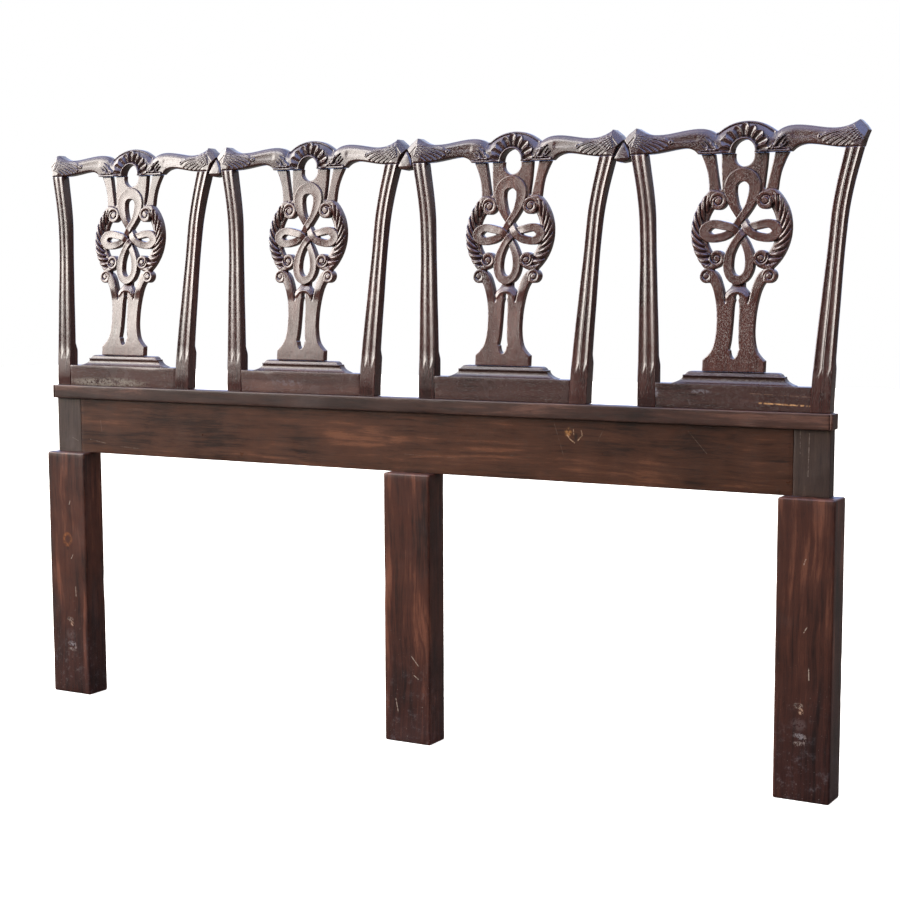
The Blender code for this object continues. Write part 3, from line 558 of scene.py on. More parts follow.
@functools.cache
def crest_relief(left_ear, right_ear):
    relief = Relief((-267, 267), (1294, 1365), cell=0.75)
    x, z, side = relief.x, relief.z, relief.side
    top = catmull(CREST_TOP, step=5)
    arch = catmull(CREST_ARCH, step=6)[:-6]        # the last point only steers the curve
    low = catmull(CREST_LOW, step=4)
    right, left = (np.vstack([[(0, 1297)], low, EARS[ear], top[1:], arch]) for ear in (right_ear, left_ear))
    eye = 24.0 - np.hypot(x, z - SHELL_Z)
    relief.sdf = np.maximum(poly_sdf(x, z, join_halves(right, left)), eye)

    height = add_shell(arms_and_arch(x, z, side, top, arch, low), x, z, side)
    for leaf in SPRAY:
        lobe = petal(side, z, *leaf)
        height = np.where(lobe > 0.05, np.maximum(height, height * 0.4 + lobe), height)
    height += ear_leaves(z, side)

    # planed facet at the end of each ear, larger at the right-hand end of the headboard
    large = (x > 0) & (right_ear == "end")
    facet_x, facet_z = 29, 25                      # its direction in x and z
    length = math.hypot(facet_x, facet_z)
    dist = (side - np.where(large, 222, 231)) * (facet_x / length) + (z - 1347) * (facet_z / length)
    height = np.where(dist > 0, np.minimum(height, 0.6 - np.where(large, 0.60, 0.34) * dist), height)
    height -= np.where(large, 0.8, 0.5) * bell(dist + 1.6, 0.9) * (side > 215)
    relief.height = height
    return relief


# ------------------------------------------------------------------ smooth value noise
def lattice_hash(i, j, k, seed):
    mixed = (i * 374761393 + j * 668265263 + k * 2147483647 + seed * 144269504) & 0xFFFFFFFF
    mixed = ((mixed ^ (mixed >> 13)) * 1274126177) & 0xFFFFFFFF
    return ((mixed ^ (mixed >> 16)) & 0xFFFF) / 65535.0


def vnoise(points, freq, seed=0):
    """Value noise in -1..1 at rows of points in metres; freq is in cycles per metre, one or per axis."""
    grid = np.asarray(points, float) * np.asarray(freq, float) + 1000.0
    base = np.floor(grid).astype(np.int64)
    t = grid - base
    t = t * t * (3 - 2 * t)
    total = np.zeros(len(grid))
    for corner in np.ndindex(2, 2, 2):
        wx, wy, wz = (np.where(step, t[:, k], 1 - t[:, k]) for k, step in enumerate(corner))
        total += wx * wy * wz * lattice_hash(*(base[:, k] + step for k, step in enumerate(corner)), seed)
    return total * 2 - 1


# ------------------------------------------------------------------ making pieces
def add_object(name, mesh, node):
    """Object that rides on the body and stands for a CAD node."""
    ob = bpy.data.objects.new(name, mesh)
    bpy.context.scene.collection.objects.link(ob)
    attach(ob, "root")
    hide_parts(node)


def piece(name, verts, faces, material, node, sharp=50.0):
    """Closed mesh from verts in metres and faces as arrays of quads or single polygons."""
    mesh = bpy.data.meshes.new(name)
    verts = np.asarray(verts, dtype=np.float32)
    groups = [np.atleast_2d(group) for group in faces]
    loops = np.concatenate([group.ravel() for group in groups]).astype(np.int32)
    totals = np.concatenate([np.full(len(group), group.shape[1]) for group in groups]).astype(np.int32)
    starts = (np.cumsum(totals) - totals).astype(np.int32)
    mesh.vertices.add(len(verts))
    mesh.vertices.foreach_set("co", verts.ravel())
    mesh.loops.add(len(loops))
    mesh.loops.foreach_set("vertex_index", loops)
    mesh.polygons.add(len(starts))
    mesh.polygons.foreach_set("loop_start", starts)
    mesh.polygons.foreach_set("loop_total", totals)
    mesh.polygons.foreach_set("use_smooth", np.ones(len(starts), dtype=bool))
    mesh.update(calc_edges=True)
    mesh.validate()
    mesh.set_sharp_from_angle(angle=math.radians(sharp))
    mesh.materials.append(material)
    add_object(name, mesh, node)


def loft_mesh(rings):
    """Closed loft through rings of equal length."""
    count = len(rings[0])
    i = np.arange(count)
    j = (i + 1) % count
    quads = [np.stack([k * count + i, k * count + j, (k + 1) * count + j, (k + 1) * count + i], 1)
             for k in range(len(rings) - 1)]
    return np.vstack(rings), [np.vstack(quads), i[::-1], (len(rings) - 1) * count + i]


def flipped(faces):
    return [group[..., ::-1] for group in faces]


def rounded_section(width, height, radius, step):
    """Rounded rectangle about the origin: its points, and the outward normal of each."""
    arc_steps = 5
    points, normals = [], []

    def bridge(end, normal):
        """Points along the straight side up to the next arc."""
        (x0, y0), (x1, y1) = points[-1], end
        count = max(1, int(math.hypot(x1 - x0, y1 - y0) / step))
        for i in range(1, count):
            points.append((x0 + (x1 - x0) * i / count, y0 + (y1 - y0) * i / count))
            normals.append(normal)

    for sign_x, sign_y, start in ((1, 1, 0), (-1, 1, 90), (-1, -1, 180), (1, -1, 270)):
        mid_x, mid_y = sign_x * (width / 2 - radius), sign_y * (height / 2 - radius)
        for k in range(arc_steps + 1):
            t = math.radians(start + 90 * k / arc_steps)
            normal = (math.cos(t), math.sin(t))
            point = (mid_x + radius * normal[0], mid_y + radius * normal[1])
            if k == 0 and points:
                bridge(point, normal)
            points.append(point)
            normals.append(normal)
    bridge(points[0], normals[0])
    return np.array(points), np.array(normals)


def board(low, high, axis, radius, step, wear, wave, seed):
    """Planed board between two corners, lofted along an axis. Its arrises have a radius and are worn
    back by up to about wear; its faces are out of flat by wave."""
    low, high = np.array(low, float), np.array(high, float)
    middle = (high + low) / 2
    across = [k for k in range(3) if k != axis]
    section, outward = rounded_section(*(high - low)[across], radius, step)
    length = (high - low)[axis]
    ends = [(radius * (1 - math.cos(t)), radius * (1 - math.sin(t)))
            for t in map(math.radians, (0, 22.5, 45, 67.5))]
    spans = max(2, int((length - 2 * radius) / (step * 1.3)))
    levels = ends + [(radius + (length - 2 * radius) * k / spans, 0.0) for k in range(spans + 1)]
    levels += [(length - offset, inset) for offset, inset in ends[::-1]]
    rings = []
    for offset, inset in levels:
        ring = np.zeros((len(section), 3))
        ring[:, axis] = low[axis] + offset
        ring[:, across] = middle[across] + (section - outward * inset)
        rings.append(ring)
    verts, faces = loft_mesh(rings)
    normals = np.zeros_like(verts)
    normals[:, across] = np.tile(outward, (len(rings), 1))

    # the second smallest distance to a face is the distance to the nearest arris
    dist = np.sort(np.minimum(verts - low, high - verts), axis=1)[:, 1]
    edge = clip01(1 - dist / (1.6 * radius + 1.0))
    place = verts * MM
    rub = clip01(vnoise(place, 26, seed) * 0.6 + vnoise(place, 90, seed + 7) * 0.5 - 0.12)
    dents = clip01(vnoise(place, 11, seed + 3) - 0.62) * 4.0
    verts = verts - normals * (edge * wear * (rub + dents))[:, None]
    verts = verts - normals * (wave * (0.5 + 0.5 * vnoise(place, 7, seed + 11)) * (1 - edge))[:, None]
    # the section turns the other way round when the board runs along Y
    return verts, flipped(faces) if axis == 1 else faces


def board_piece(name, node, axis, material, seed, radius, step=8.0, wear=0.6, wave=0.15):
    """Board that fills the box of a CAD node."""
    low, high = ([c * 1000 for c in corner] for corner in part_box(node))
    verts, faces = board(low, high, axis, radius, step, wear, wave, seed)
    piece(name, verts * MM, faces, material, node)


# ------------------------------------------------------------------ chair back stiles
# height z against: x of the outer side, width of the face, depth
OUTER = [(781.6, 205.5), (860, 207.0), (940, 209.3), (1000, 211.4), (1060, 213.0), (1100, 214.5),
         (1140, 216.8), (1180, 220.0), (1215, 225.0), (1250, 231.8), (1301, 244.0)]
FACE = [(781.6, 40), (860, 39.6), (940, 37), (1020, 33.6), (1100, 30.2), (1180, 30.0), (1250, 30.5),
        (1301, 32.5)]
DEPTH = [(781.6, 30), (868, 30), (886, 23), (1301, 21.5)]


def table(rows, z):
    return np.interp(z, *np.transpose(rows))


def smooth_table(rows, z):
    return table(catmull(rows, step=12), z)


def rake(z):
    """How far the chair back leans to the rear."""
    return 48.0 * np.clip((z - 800.0) / 500.0, 0, None) ** 1.15


def stile(side, z0, z1, seed):
    """Fluted stile: two hollows between three fine ribs, above a plain block at the seat rail."""
    heights = np.concatenate([[z0, z0 + 0.35, z0 + 1.0], np.arange(z0 + 4, z1 - 2, 3.2),
                              [z1 - 1.0, z1 - 0.35, z1]])
    # stations across the face, from its inner to its outer corner
    across = np.concatenate([np.linspace(0.0, 0.08, 4), np.linspace(0.10, 0.45, 12),
                             np.linspace(0.465, 0.535, 7), np.linspace(0.55, 0.90, 12),
                             np.linspace(0.92, 1.0, 4)])
    flank = np.linspace(0, 1, 7)[1:-1]
    rear = np.linspace(0, 1, 6)[1:-1]
    rings = []
    for z, outer, width, depth in zip(heights, smooth_table(OUTER, heights),
                                      smooth_table(FACE, heights), table(DEPTH, heights)):
        y = rake(z) - 6.0 * smooth01((z - 1080.0) / 221.0)
        back = rake(z) + depth
        inner = outer - width
        # front: flutes that open above the block, a thin rib between them, eased corners
        fade = smooth01((z - 846) / 42.0)
        flute = 0.205 * clip01((z - 847.0) / 24.0) ** 0.85
        sink = np.zeros_like(across)
        for middle in (0.275, 0.725):
            t = np.abs(across - middle) / max(flute, 1e-3)
            sink = np.maximum(sink, 1.45 * fade ** 0.6 * clip01(1 - t ** 2))
        sink += 0.75 * fade * bell(across - 0.5, 0.022)
        sink += quarter(np.minimum(across, 1 - across) * width, 1.3 + 1.3 * fade) * 0.85
        ring = [(inner + width * t, y + drop) for t, drop in zip(across, sink)]
        # outer flank, back and inner flank
        y_in, y_out = ring[0][1], ring[-1][1]
        ring += [(outer + 0.25 * math.sin(math.pi * t), y_out + (back - 1.6 - y_out) * t) for t in flank]
        ring += [(outer, back - 1.6), (outer - 0.5, back - 0.5), (outer - 1.6, back)]
        ring += [(outer - 1.6 - (width - 3.2) * t, back) for t in rear]
        ring += [(inner + 1.6, back), (inner + 0.5, back - 0.5), (inner, back - 1.6)]
        ring += [(inner - 0.25 * math.sin(math.pi * t), back - 1.6 + (y_in - back + 1.6) * t)
                 for t in flank]
        # ease both ends of the stile
        tuck = 0.8 * (1 - min(1.0, min(z - z0, z1 - z))) ** 2
        centre = np.array([outer - width / 2, y + depth / 2])
        ring = centre + (np.array(ring) - centre) * (1 - tuck / np.array([width / 2, depth / 2]))
        rings.append(np.column_stack([ring, np.full(len(ring), z)]))
    verts, faces = loft_mesh(rings)
    place = verts * MM
    verts[:, :2] += 0.10 * np.stack([vnoise(place, (60, 60, 9), seed + k) for k in (0, 5)], 1)
    if side < 0:
        verts[:, 0] *= -1
        faces = flipped(faces)
    return verts, faces


# ------------------------------------------------------------------ shoe under the splat
# moulding: height above its base, inset at each end, inset at the front
SHOE = [(0.3, 0.0, 0.0), (0.8, 0.4, 0.4), (1.5, 2.6, 2.2), (2.4, 5.4, 3.8), (3.6, 8.8, 5.2), (5.2, 12.2, 6.5),
        (7.2, 15.8, 7.7), (9.4, 18.6, 8.4), (11.6, 20.6, 8.7), (13.6, 21.9, 8.3), (14.9, 22.6, 7.2),
        (15.6, 22.9, 6.2), (16.2, 23.0, 5.5), (17.0, 22.8, 5.2), (17.9, 23.0, 5.4), (18.3, 24.2, 6.0),
        (18.5, 27.0, 6.6), (19.3, 28.2, 7.0), (21.2, 29.6, 7.7), (23.0, 31.4, 8.4), (24.6, 34.2, 9.6),
        (25.4, 36.4, 10.8), (25.7, 39.5, 12.5)]
SHOE_HALF, SHOE_FRONT, SHOE_BACK = 131.0, 1.5, 28.0


def shoe(z_base, seed):
    rings = []
    for rise, end_inset, front_inset in catmull(SHOE, step=2):
        half, front = SHOE_HALF - end_inset, SHOE_FRONT + front_inset
        radius = min(1.2, 0.4 + rise * 0.2)
        row = np.linspace(-half + radius, half - radius, 56)
        flank = np.linspace(front + radius, SHOE_BACK - 0.3, 6)
        turns = [(math.sin(t), math.cos(t)) for t in np.radians((30, 60))]
        ring = [(x, front) for x in row]
        ring += [(half - radius + radius * s, front + radius - radius * c) for s, c in turns]
        ring += [(half, y) for y in flank]
        ring += [(x, SHOE_BACK) for x in row[::-1]]
        ring += [(-half, y) for y in flank[::-1]]
        ring += [(-half + radius - radius * c, front + radius - radius * s) for s, c in turns]
        rings.append(np.array([(x, y, z_base + rise) for x, y in ring]))
    verts, faces = loft_mesh(rings)
    verts[:, 1] += 0.12 * vnoise(verts * MM, 45, seed)
    return verts, faces


# ------------------------------------------------------------------ shader nodes
class Signal:
    """A shader output that takes arithmetic: each operator adds one Math node."""

    def __init__(self, net, socket):
        self.net, self.socket = net, socket

    def __add__(self, other):
        return self.net.math("ADD", self, other)

    def __radd__(self, other):
        return self.net.math("ADD", other, self)

    def __sub__(self, other):
        return self.net.math("SUBTRACT", self, other)

    def __rsub__(self, other):
        return self.net.math("SUBTRACT", other, self)

    def __mul__(self, other):
        return self.net.math("MULTIPLY", self, other)

    def __truediv__(self, other):
        return self.net.math("DIVIDE", self, other)


class Net:
    """Builds a node tree. After locate(), coord is the position and x, y, z are its parts."""

    def __init__(self, tree):
        self.tree = tree

    def find(self, kind):
        return next(node for node in self.tree.nodes if node.type == kind)

    def fill(self, node, values):
        """Set or link inputs, given by name or number."""
        for key, value in values.items():
            socket = node.inputs[key]
            if isinstance(value, Signal):
                self.tree.links.new(value.socket, socket)
            elif isinstance(value, tuple) and len(socket.default_value) == 4:
                socket.default_value = value + (1.0,)
            else:
                socket.default_value = value

    def node(self, kind, values=None, **props):
        node = self.tree.nodes.new(kind)
        for key, value in props.items():
            setattr(node, key, value)
        self.fill(node, values or {})
        return node

    def get(self, kind, values=None, output=0, **props):
        return Signal(self, self.node(kind, values, **props).outputs[output])

    def locate(self, space):
        self.coord = self.get("ShaderNodeTexCoord", output=space)
        parts = self.node("ShaderNodeSeparateXYZ", {0: self.coord}).outputs
        self.x, self.y, self.z = (Signal(self, part) for part in parts)

    def math(self, operation, first, second=0.0, third=0.0, clamp=False):
        return self.get("ShaderNodeMath", {0: first, 1: second, 2: third}, operation=operation,
                        use_clamp=clamp)

    def ramp(self, value, off, full, low=0.0, high=1.0):
        """Smooth step from low where value is off to high where it is full."""
        return self.get("ShaderNodeMapRange", dict(enumerate((value, off, full, low, high))),
                        interpolation_type="SMOOTHSTEP")

    def mix(self, factor, first, second, mode="MIX"):
        return self.get("ShaderNodeMix", {0: factor, 6: first, 7: second}, output=2, data_type="RGBA",
                        blend_type=mode, clamp_factor=True)

    def shade(self, factor, colour, tint):
        """Multiply a colour by a tint, as far as factor says."""
        return self.mix(factor, colour, self.mix(1.0, colour, tint, "MULTIPLY"))

    def xyz(self, x, y, z):
        return self.get("ShaderNodeCombineXYZ", {0: x, 1: y, 2: z})

    def noise(self, scale, detail=2.0, rough=0.5, warp=0.0, at=None):
        values = {"Vector": at or self.coord, "Scale": scale, "Detail": detail, "Roughness": rough,
                  "Distortion": warp}
        return self.get("ShaderNodeTexNoise", values, noise_dimensions="3D")

    def grit(self, off, full, **noise):
        """Noise cut into ragged patches."""
        return self.ramp(self.noise(**noise), off, full)

    def on_front(self):
        return self.ramp(self.y, off=-0.012, full=-0.018)

    def spot(self, at, radii, soft):
        """1 inside an upright ellipse on the front, fading over the soft share of its radius."""
        dx = (self.x - at[0]) / radii[0]
        dz = (self.z - at[1]) / radii[1]
        dist = self.math("SQRT", dx * dx + dz * dz)
        return self.ramp(dist, off=1.0, full=1.0 - soft) * self.on_front()

    def stroke(self, x0, z0, x1, z1, width):
        """1 along a short scratch between two points of the front."""
        length = math.hypot(x1 - x0, z1 - z0)
        ux, uz = (x1 - x0) / length, (z1 - z0) / length
        dx, dz = self.x - x0, self.z - z0
        along = dx * ux + dz * uz
        away = self.math("ABSOLUTE", dx * -uz - dz * -ux)
        span = self.ramp(along, off=-width, full=width) * self.ramp(along, off=length + width,
                                                                    full=length - width)
        return span * self.on_front() * self.ramp(away, off=width, full=width * 0.3)

    def scratches(self, colour, tint, mask, rows):
        """Scratches through a mask; rows hold x0, z0, x1, z1, width, strength."""
        for *line, strength in rows:
            colour = self.mix(self.stroke(*line) * mask * strength, colour, tint)
        return colour


def new_material(name):
    material = bpy.data.materials.new(name)
    material.use_nodes = True
    net = Net(material.node_tree)
    return material, net, net.find("BSDF_PRINCIPLED")


def wood(name, grain, dark, mid, light, *, rough, coat, figure, seed, cavity=0.75, edge=0.5, haze=0.0,
         marks=None, fig_scale=(1.4, 16.0), spec=0.5):
    """Polished wood. grain is the axis the fibres run along, figure the contrast of the bands and
    fig_scale their frequency along and across; edge is wear, haze is bloom, and cavity darkens the
    hollows for dust and dark polish and as painted shade."""
    material, net, bsdf = new_material(name)
    net.locate("Object")
    parts = [net.x, net.y, net.z]
    along = parts.pop(grain)
    first, second = parts
    # a slow wander of the fibres
    wander = net.noise(scale=2.6, detail=2.0, rough=0.5, at=net.xyz(along * 1.0, first, second + seed))
    shift = (wander - 0.5) * 0.055
    first = first + shift
    second = second + shift * 0.6

    def fibres(stretch, fine, detail, rough, warp, offset):
        """Noise drawn out along the grain: frequency along and across it."""
        at = net.xyz(net.math("MULTIPLY_ADD", along, stretch, seed * 3.1 + offset),
                     net.math("MULTIPLY_ADD", first, fine, seed * 7.7 + offset), second * fine)
        return net.noise(scale=1.0, detail=detail, rough=rough, warp=warp, at=at)

    bands = fibres(*fig_scale, detail=3.0, rough=0.55, warp=0.6, offset=0.0)
    streak = fibres(5.0, 110.0, detail=4.0, rough=0.62, warp=0.3, offset=4.0)
    fibre = fibres(26.0, 620.0, detail=3.0, rough=0.6, warp=0.0, offset=9.0)
    pore = fibres(95.0, 2300.0, detail=1.0, rough=0.5, warp=0.0, offset=13.0)
    mottle = net.noise(scale=9.0, detail=3.0, rough=0.55)
    ribbon = net.math("SINE", net.math("MULTIPLY_ADD", bands, 19.0, streak * 2.0))
    tone = ((bands - 0.5) * (1.5 * figure) + (streak - 0.5) * (1.1 * figure) + ribbon * (0.07 * figure)
            + (fibre - 0.5) * 0.55 + (mottle - 0.5) * 0.7)
    tone = net.math("ADD", tone, 0.5, clamp=True)
    colour = net.mix(net.ramp(tone, off=0.12, full=0.58), dark, mid)
    colour = net.mix(net.ramp(tone, off=0.55, full=0.98) * 0.85, colour, light)
    pores = net.ramp(pore, off=0.60, full=0.72)
    colour = net.mix(pores * 0.62, colour, tuple(0.28 * c for c in dark))
    # worn arrises show paler wood; hollows are darkened for dark polish and dust, and as painted shade
    point = net.get("ShaderNodeNewGeometry", output="Pointiness")
    rag = net.noise(scale=70.0, detail=3.0, rough=0.65)
    ridge = net.ramp(point, off=0.512, full=0.575) * net.ramp(rag, off=0.34, full=0.66)
    hollow = net.ramp(point, off=0.493, full=0.43)
    colour = net.mix(ridge * edge, colour, tuple(min(1.0, 1.9 * c + 0.012) for c in light))
    # painted shade with dust: hollows pulled towards near-black
    colour = net.mix(hollow * cavity, colour, tuple(0.12 * c for c in dark))
    # light dirt and lost polish in clouds, and small scuffs
    cloud = net.grit(0.50, 0.78, scale=5.5, detail=5.0, rough=0.62, warp=0.4,
                     at=net.xyz(net.x, net.y * 2.0, net.z))
    if haze:
        colour = net.mix(cloud * haze, colour, (0.105, 0.082, 0.078))
    scuff = net.grit(0.665, 0.74, scale=1.0, detail=8.0, rough=0.72, warp=1.6,
                     at=net.xyz(net.x * 38.0, net.y * 38.0, net.z * 55.0))
    colour = net.mix(scuff * 0.16, colour, (0.22, 0.17, 0.15))
    roughness = rough + (net.noise(scale=21.0, detail=4.0, rough=0.6) - 0.5) * 0.13
    roughness = roughness + cloud * 0.06 + hollow * 0.18
    roughness = net.math("ADD", roughness, pores * 0.12, clamp=True)
    if marks:
        colour, roughness = marks(net, colour, roughness)
    # fibres, pores and scuffs over a slow ripple
    fine = net.get("ShaderNodeBump", {"Strength": 0.35, "Distance": 0.00030,
                                      "Height": fibre * 0.5 + pores * -0.9 + scuff * -0.35})
    normal = net.get("ShaderNodeBump", {"Strength": 0.12, "Distance": 0.0016, "Normal": fine,
                                        "Height": net.noise(scale=46.0, detail=2.0, rough=0.5)})
    coat_noise = net.noise(scale=34.0, detail=3.0, rough=0.6)
    net.fill(bsdf, {"Base Color": colour, "Roughness": roughness, "Specular IOR Level": spec,
                    "Coat Weight": 0.93 * coat, "Normal": normal, "Coat Normal": normal,
                    "Coat Roughness": net.math("MULTIPLY_ADD", coat_noise, 0.12, 0.04)})
    return material


# ------------------------------------------------------------------ marks of age and painted shade (metres, linear colour)
# scratches: x0, z0, x1, z1, width, strength
RAIL_SCRATCHES = [
    (-0.897, 0.648, -0.846, 0.640, 0.0011, 0.6), (-0.800, 0.634, -0.735, 0.631, 0.0010, 0.5),
    (-0.862, 0.700, -0.858, 0.668, 0.0009, 0.4), (-0.560, 0.760, -0.452, 0.757, 0.0008, 0.35),
    (0.02, 0.655, 0.15, 0.6525, 0.0008, 0.3), (0.700, 0.735, 0.742, 0.690, 0.0009, 0.35),
    (0.395, 0.738, 0.418, 0.668, 0.0010, 0.30), (0.512, 0.735, 0.495, 0.700, 0.0010, 0.35)]
KNOT_SCRATCHES = [
    (0.425, 0.716, 0.432, 0.707, 0.0020, 0.85), (0.432, 0.707, 0.443, 0.699, 0.0018, 0.85),
    (0.450, 0.704, 0.461, 0.716, 0.0017, 0.85), (0.461, 0.716, 0.458, 0.726, 0.0017, 0.85),
    (0.440, 0.728, 0.441, 0.716, 0.0011, 0.85)]
END_SCRATCHES = [
    (0.957, 0.748, 0.9555, 0.655, 0.0012, 0.6), (0.938, 0.752, 0.9385, 0.700, 0.0010, 0.35),
    (-0.955, 0.650, -0.935, 0.642, 0.0010, 0.45)]
# patches left by hardware: x and z from its middle, radii, strength, colour
HARDWARE = [
    (-0.002, 0.020, 0.0125, 0.0075, 0.85, (0.30, 0.24, 0.20)),
    (0.004, 0.009, 0.0065, 0.0085, 0.9, (0.42, 0.27, 0.19)),
    (0.001, -0.042, 0.0150, 0.0085, 0.8, (0.22, 0.20, 0.21)),
    (0.000, -0.057, 0.0130, 0.0060, 0.75, (0.26, 0.21, 0.19)),
    (0.013, -0.050, 0.0050, 0.0140, 0.7, (0.25, 0.20, 0.19)),
    (-0.001, -0.018, 0.0200, 0.0180, 0.25, (0.16, 0.12, 0.12))]
SCREW_HOLES = [(-0.008, 0.022), (0.009, -0.047), (0.001, -0.083)]
# nicks in a leg: x from its middle, z, to x, z
NICKS = [(0.006, 0.345, 0.013, 0.357), (0.004, 0.482, 0.008, 0.494), (0.018, 0.275, 0.019, 0.250)]
PLAIN_NICKS = [(0.012, 0.201, 0.032, 0.178), (0.018, 0.158, 0.030, 0.150), (-0.03, 0.10, -0.024, 0.07)]
# dabs on the seat rails: x, z, radii, strength
DABS = [(0.616, 0.812, 0.024, 0.015, 0.62), (0.725, 0.817, 0.030, 0.006, 0.35),
        (-0.30, 0.806, 0.060, 0.010, 0.22)]


def rail_marks(net, colour, roughness):
    """Painted shade that darkens the rail towards its right-hand end, old scratches along it, and a knot-like
    blemish right of the middle.
    """
    # painted shade: the rail darkens towards its right-hand end
    colour = net.shade(net.ramp(net.x, off=0.0, full=0.75), colour, (0.70, 0.70, 0.70))
    rag = net.grit(0.38, 0.62, scale=160.0, detail=4.0, rough=0.7)
    colour = net.scratches(colour, (0.21, 0.16, 0.13), rag, RAIL_SCRATCHES)
    amber = net.spot(at=(0.428, 0.721), radii=(0.011, 0.013), soft=0.7)
    amber = amber * net.grit(0.42, 0.56, scale=90.0, detail=4.0, rough=0.7, warp=1.0)
    colour = net.mix(amber * 0.8, colour, (0.33, 0.15, 0.05))
    for row in KNOT_SCRATCHES:
        rag = net.grit(0.40, 0.56, scale=190.0, detail=4.0, rough=0.7)
        colour = net.scratches(colour, (0.42, 0.27, 0.17), rag, [row])
    heart = net.spot(at=(0.446, 0.712), radii=(0.006, 0.011), soft=0.8)
    return net.mix(heart * 0.8, colour, (0.010, 0.006, 0.005)), roughness


def end_marks(net, colour, roughness):
    """Two upright scratches on the right-hand end board, a short one on the left-hand board."""
    rag = net.grit(0.36, 0.60, scale=130.0, detail=4.0, rough=0.7)
    return net.scratches(colour, (0.26, 0.20, 0.17), rag, END_SCRATCHES), roughness


def leg_marks(middle, hardware_z=None, stained=False):
    """Marks for a leg centred on x = middle: traces of removed hardware, a stain ring, nicks, dust
    towards the foot, and painted shade towards the right-hand end."""

    def hardware(net, colour, fine):
        rag = net.grit(0.44, 0.52, scale=135.0, detail=5.0, rough=0.75, warp=1.1)
        for dx, dz, radius_x, radius_z, strength, tint in HARDWARE:
            spot = net.spot(at=(middle + dx, hardware_z + dz), radii=(radius_x, radius_z), soft=0.55)
            mask = rag * fine if strength > 0.5 else rag
            colour = net.mix(spot * mask * strength, colour, tint)
        for dx, dz in SCREW_HOLES:
            hole = net.spot(at=(middle + dx, hardware_z + dz), radii=(0.0026, 0.0026), soft=0.5)
            colour = net.mix(hole * 0.8, colour, (0.006, 0.005, 0.005))
        return colour

    def stain(net, colour):
        """A brown ring with a dark spot low inside it."""
        x = middle - 0.004
        inside = net.spot(at=(x, 0.394), radii=(0.020, 0.024), soft=1.0)
        off_line = net.math("ABSOLUTE", inside - 0.42)
        ring = net.ramp(off_line, off=0.40, full=0.04) * net.spot(at=(x, 0.394), radii=(0.022, 0.026),
                                                                   soft=0.3)
        rag = net.grit(0.36, 0.60, scale=95.0, detail=4.0, rough=0.7, warp=0.8)
        colour = net.mix(ring * rag * 0.8, colour, (0.26, 0.085, 0.025))
        eye = net.spot(at=(x, 0.372), radii=(0.0045, 0.0060), soft=0.6)
        return net.mix(eye * 0.7, colour, (0.02, 0.010, 0.007))

    def marks(net, colour, roughness):
        fine = net.grit(0.38, 0.52, scale=210.0, detail=4.0, rough=0.7, warp=0.5)
        # darker towards the foot, and painted shade that darkens the legs towards the right-hand end
        colour = net.shade(net.ramp(net.z, off=0.34, full=0.04), colour, (0.66, 0.66, 0.80))
        # painted shade: darker towards the right-hand end
        colour = net.shade(net.ramp(net.x, off=-0.6, full=0.9), colour, (0.70, 0.74, 0.80))
        if hardware_z is not None:
            colour = hardware(net, colour, fine)
        if stained:
            colour = stain(net, colour)
        nicks = PLAIN_NICKS if hardware_z is None else NICKS
        rows = [(middle + x0, z0, middle + x1, z1, 0.0014, 0.75) for x0, z0, x1, z1 in nicks]
        colour = net.scratches(colour, (0.42, 0.34, 0.28), fine, rows)
        # dust and bloom gather towards the foot
        foot = net.ramp(net.z, off=0.26, full=0.02) * net.grit(0.52, 0.70, scale=62.0, detail=6.0,
                                                               rough=0.76)
        colour = net.mix(foot * 0.26, colour, (0.19, 0.17, 0.185))
        speck = net.grit(0.68, 0.74, scale=260.0, detail=3.0, rough=0.6)
        speck = speck * net.ramp(net.z, off=0.42, full=0.0)
        colour = net.mix(speck * 0.55, colour, (0.30, 0.26, 0.25))
        return colour, net.math("ADD", roughness, foot * 0.15, clamp=True)

    return marks


def seat_marks(net, colour, roughness):
    """Painted shade that darkens the seat rails towards the right, flaked polish low on the first seat rail, a
    chip and a line on the last one, and a few dabs.
    """
    # painted shade: the seat rails darken towards the right-hand end
    colour = net.shade(net.ramp(net.x, off=-0.5, full=0.7), colour, (0.64, 0.62, 0.62))
    fine = net.noise(scale=150.0, detail=6.0, rough=0.78, warp=0.8)
    islands = net.grit(0.40, 0.52, scale=1.0, detail=5.0, rough=0.7, warp=0.8,
                       at=net.xyz(net.x * 24.0, 0.0, net.z * 62.0))
    fine = net.math("MULTIPLY_ADD", islands, 0.10, fine - 0.085)
    flaked = {"at": (-0.835, 0.791), "radii": (0.155, 0.0155)}
    flake = net.spot(**flaked, soft=0.55) * net.ramp(fine, off=0.44, full=0.52)
    colour = net.mix(flake * 0.72, colour, (0.235, 0.205, 0.165))
    pits = net.spot(**flaked, soft=0.4) * net.ramp(fine, off=0.42, full=0.34)
    colour = net.mix(pits * 0.8, colour, (0.012, 0.009, 0.008))
    rag = net.grit(0.40, 0.54, scale=120.0, detail=4.0, rough=0.7)
    colour = net.scratches(colour, (0.50, 0.27, 0.12), rag, [(0.850, 0.7975, 0.974, 0.7945, 0.0021, 0.9)])
    rag = net.grit(0.46, 0.58, scale=90.0, detail=4.0, rough=0.7)
    colour = net.scratches(colour, (0.22, 0.13, 0.09), rag, [(0.830, 0.8165, 0.968, 0.8125, 0.0009, 0.55)])
    for x, z, radius_x, radius_z, strength in DABS:
        dab = net.spot(at=(x, z), radii=(radius_x, radius_z), soft=0.6)
        dab = dab * net.grit(0.47, 0.56, scale=95.0, detail=5.0, rough=0.75, warp=1.2)
        colour = net.mix(dab * strength, colour, (0.26, 0.25, 0.28))
    return colour, roughness


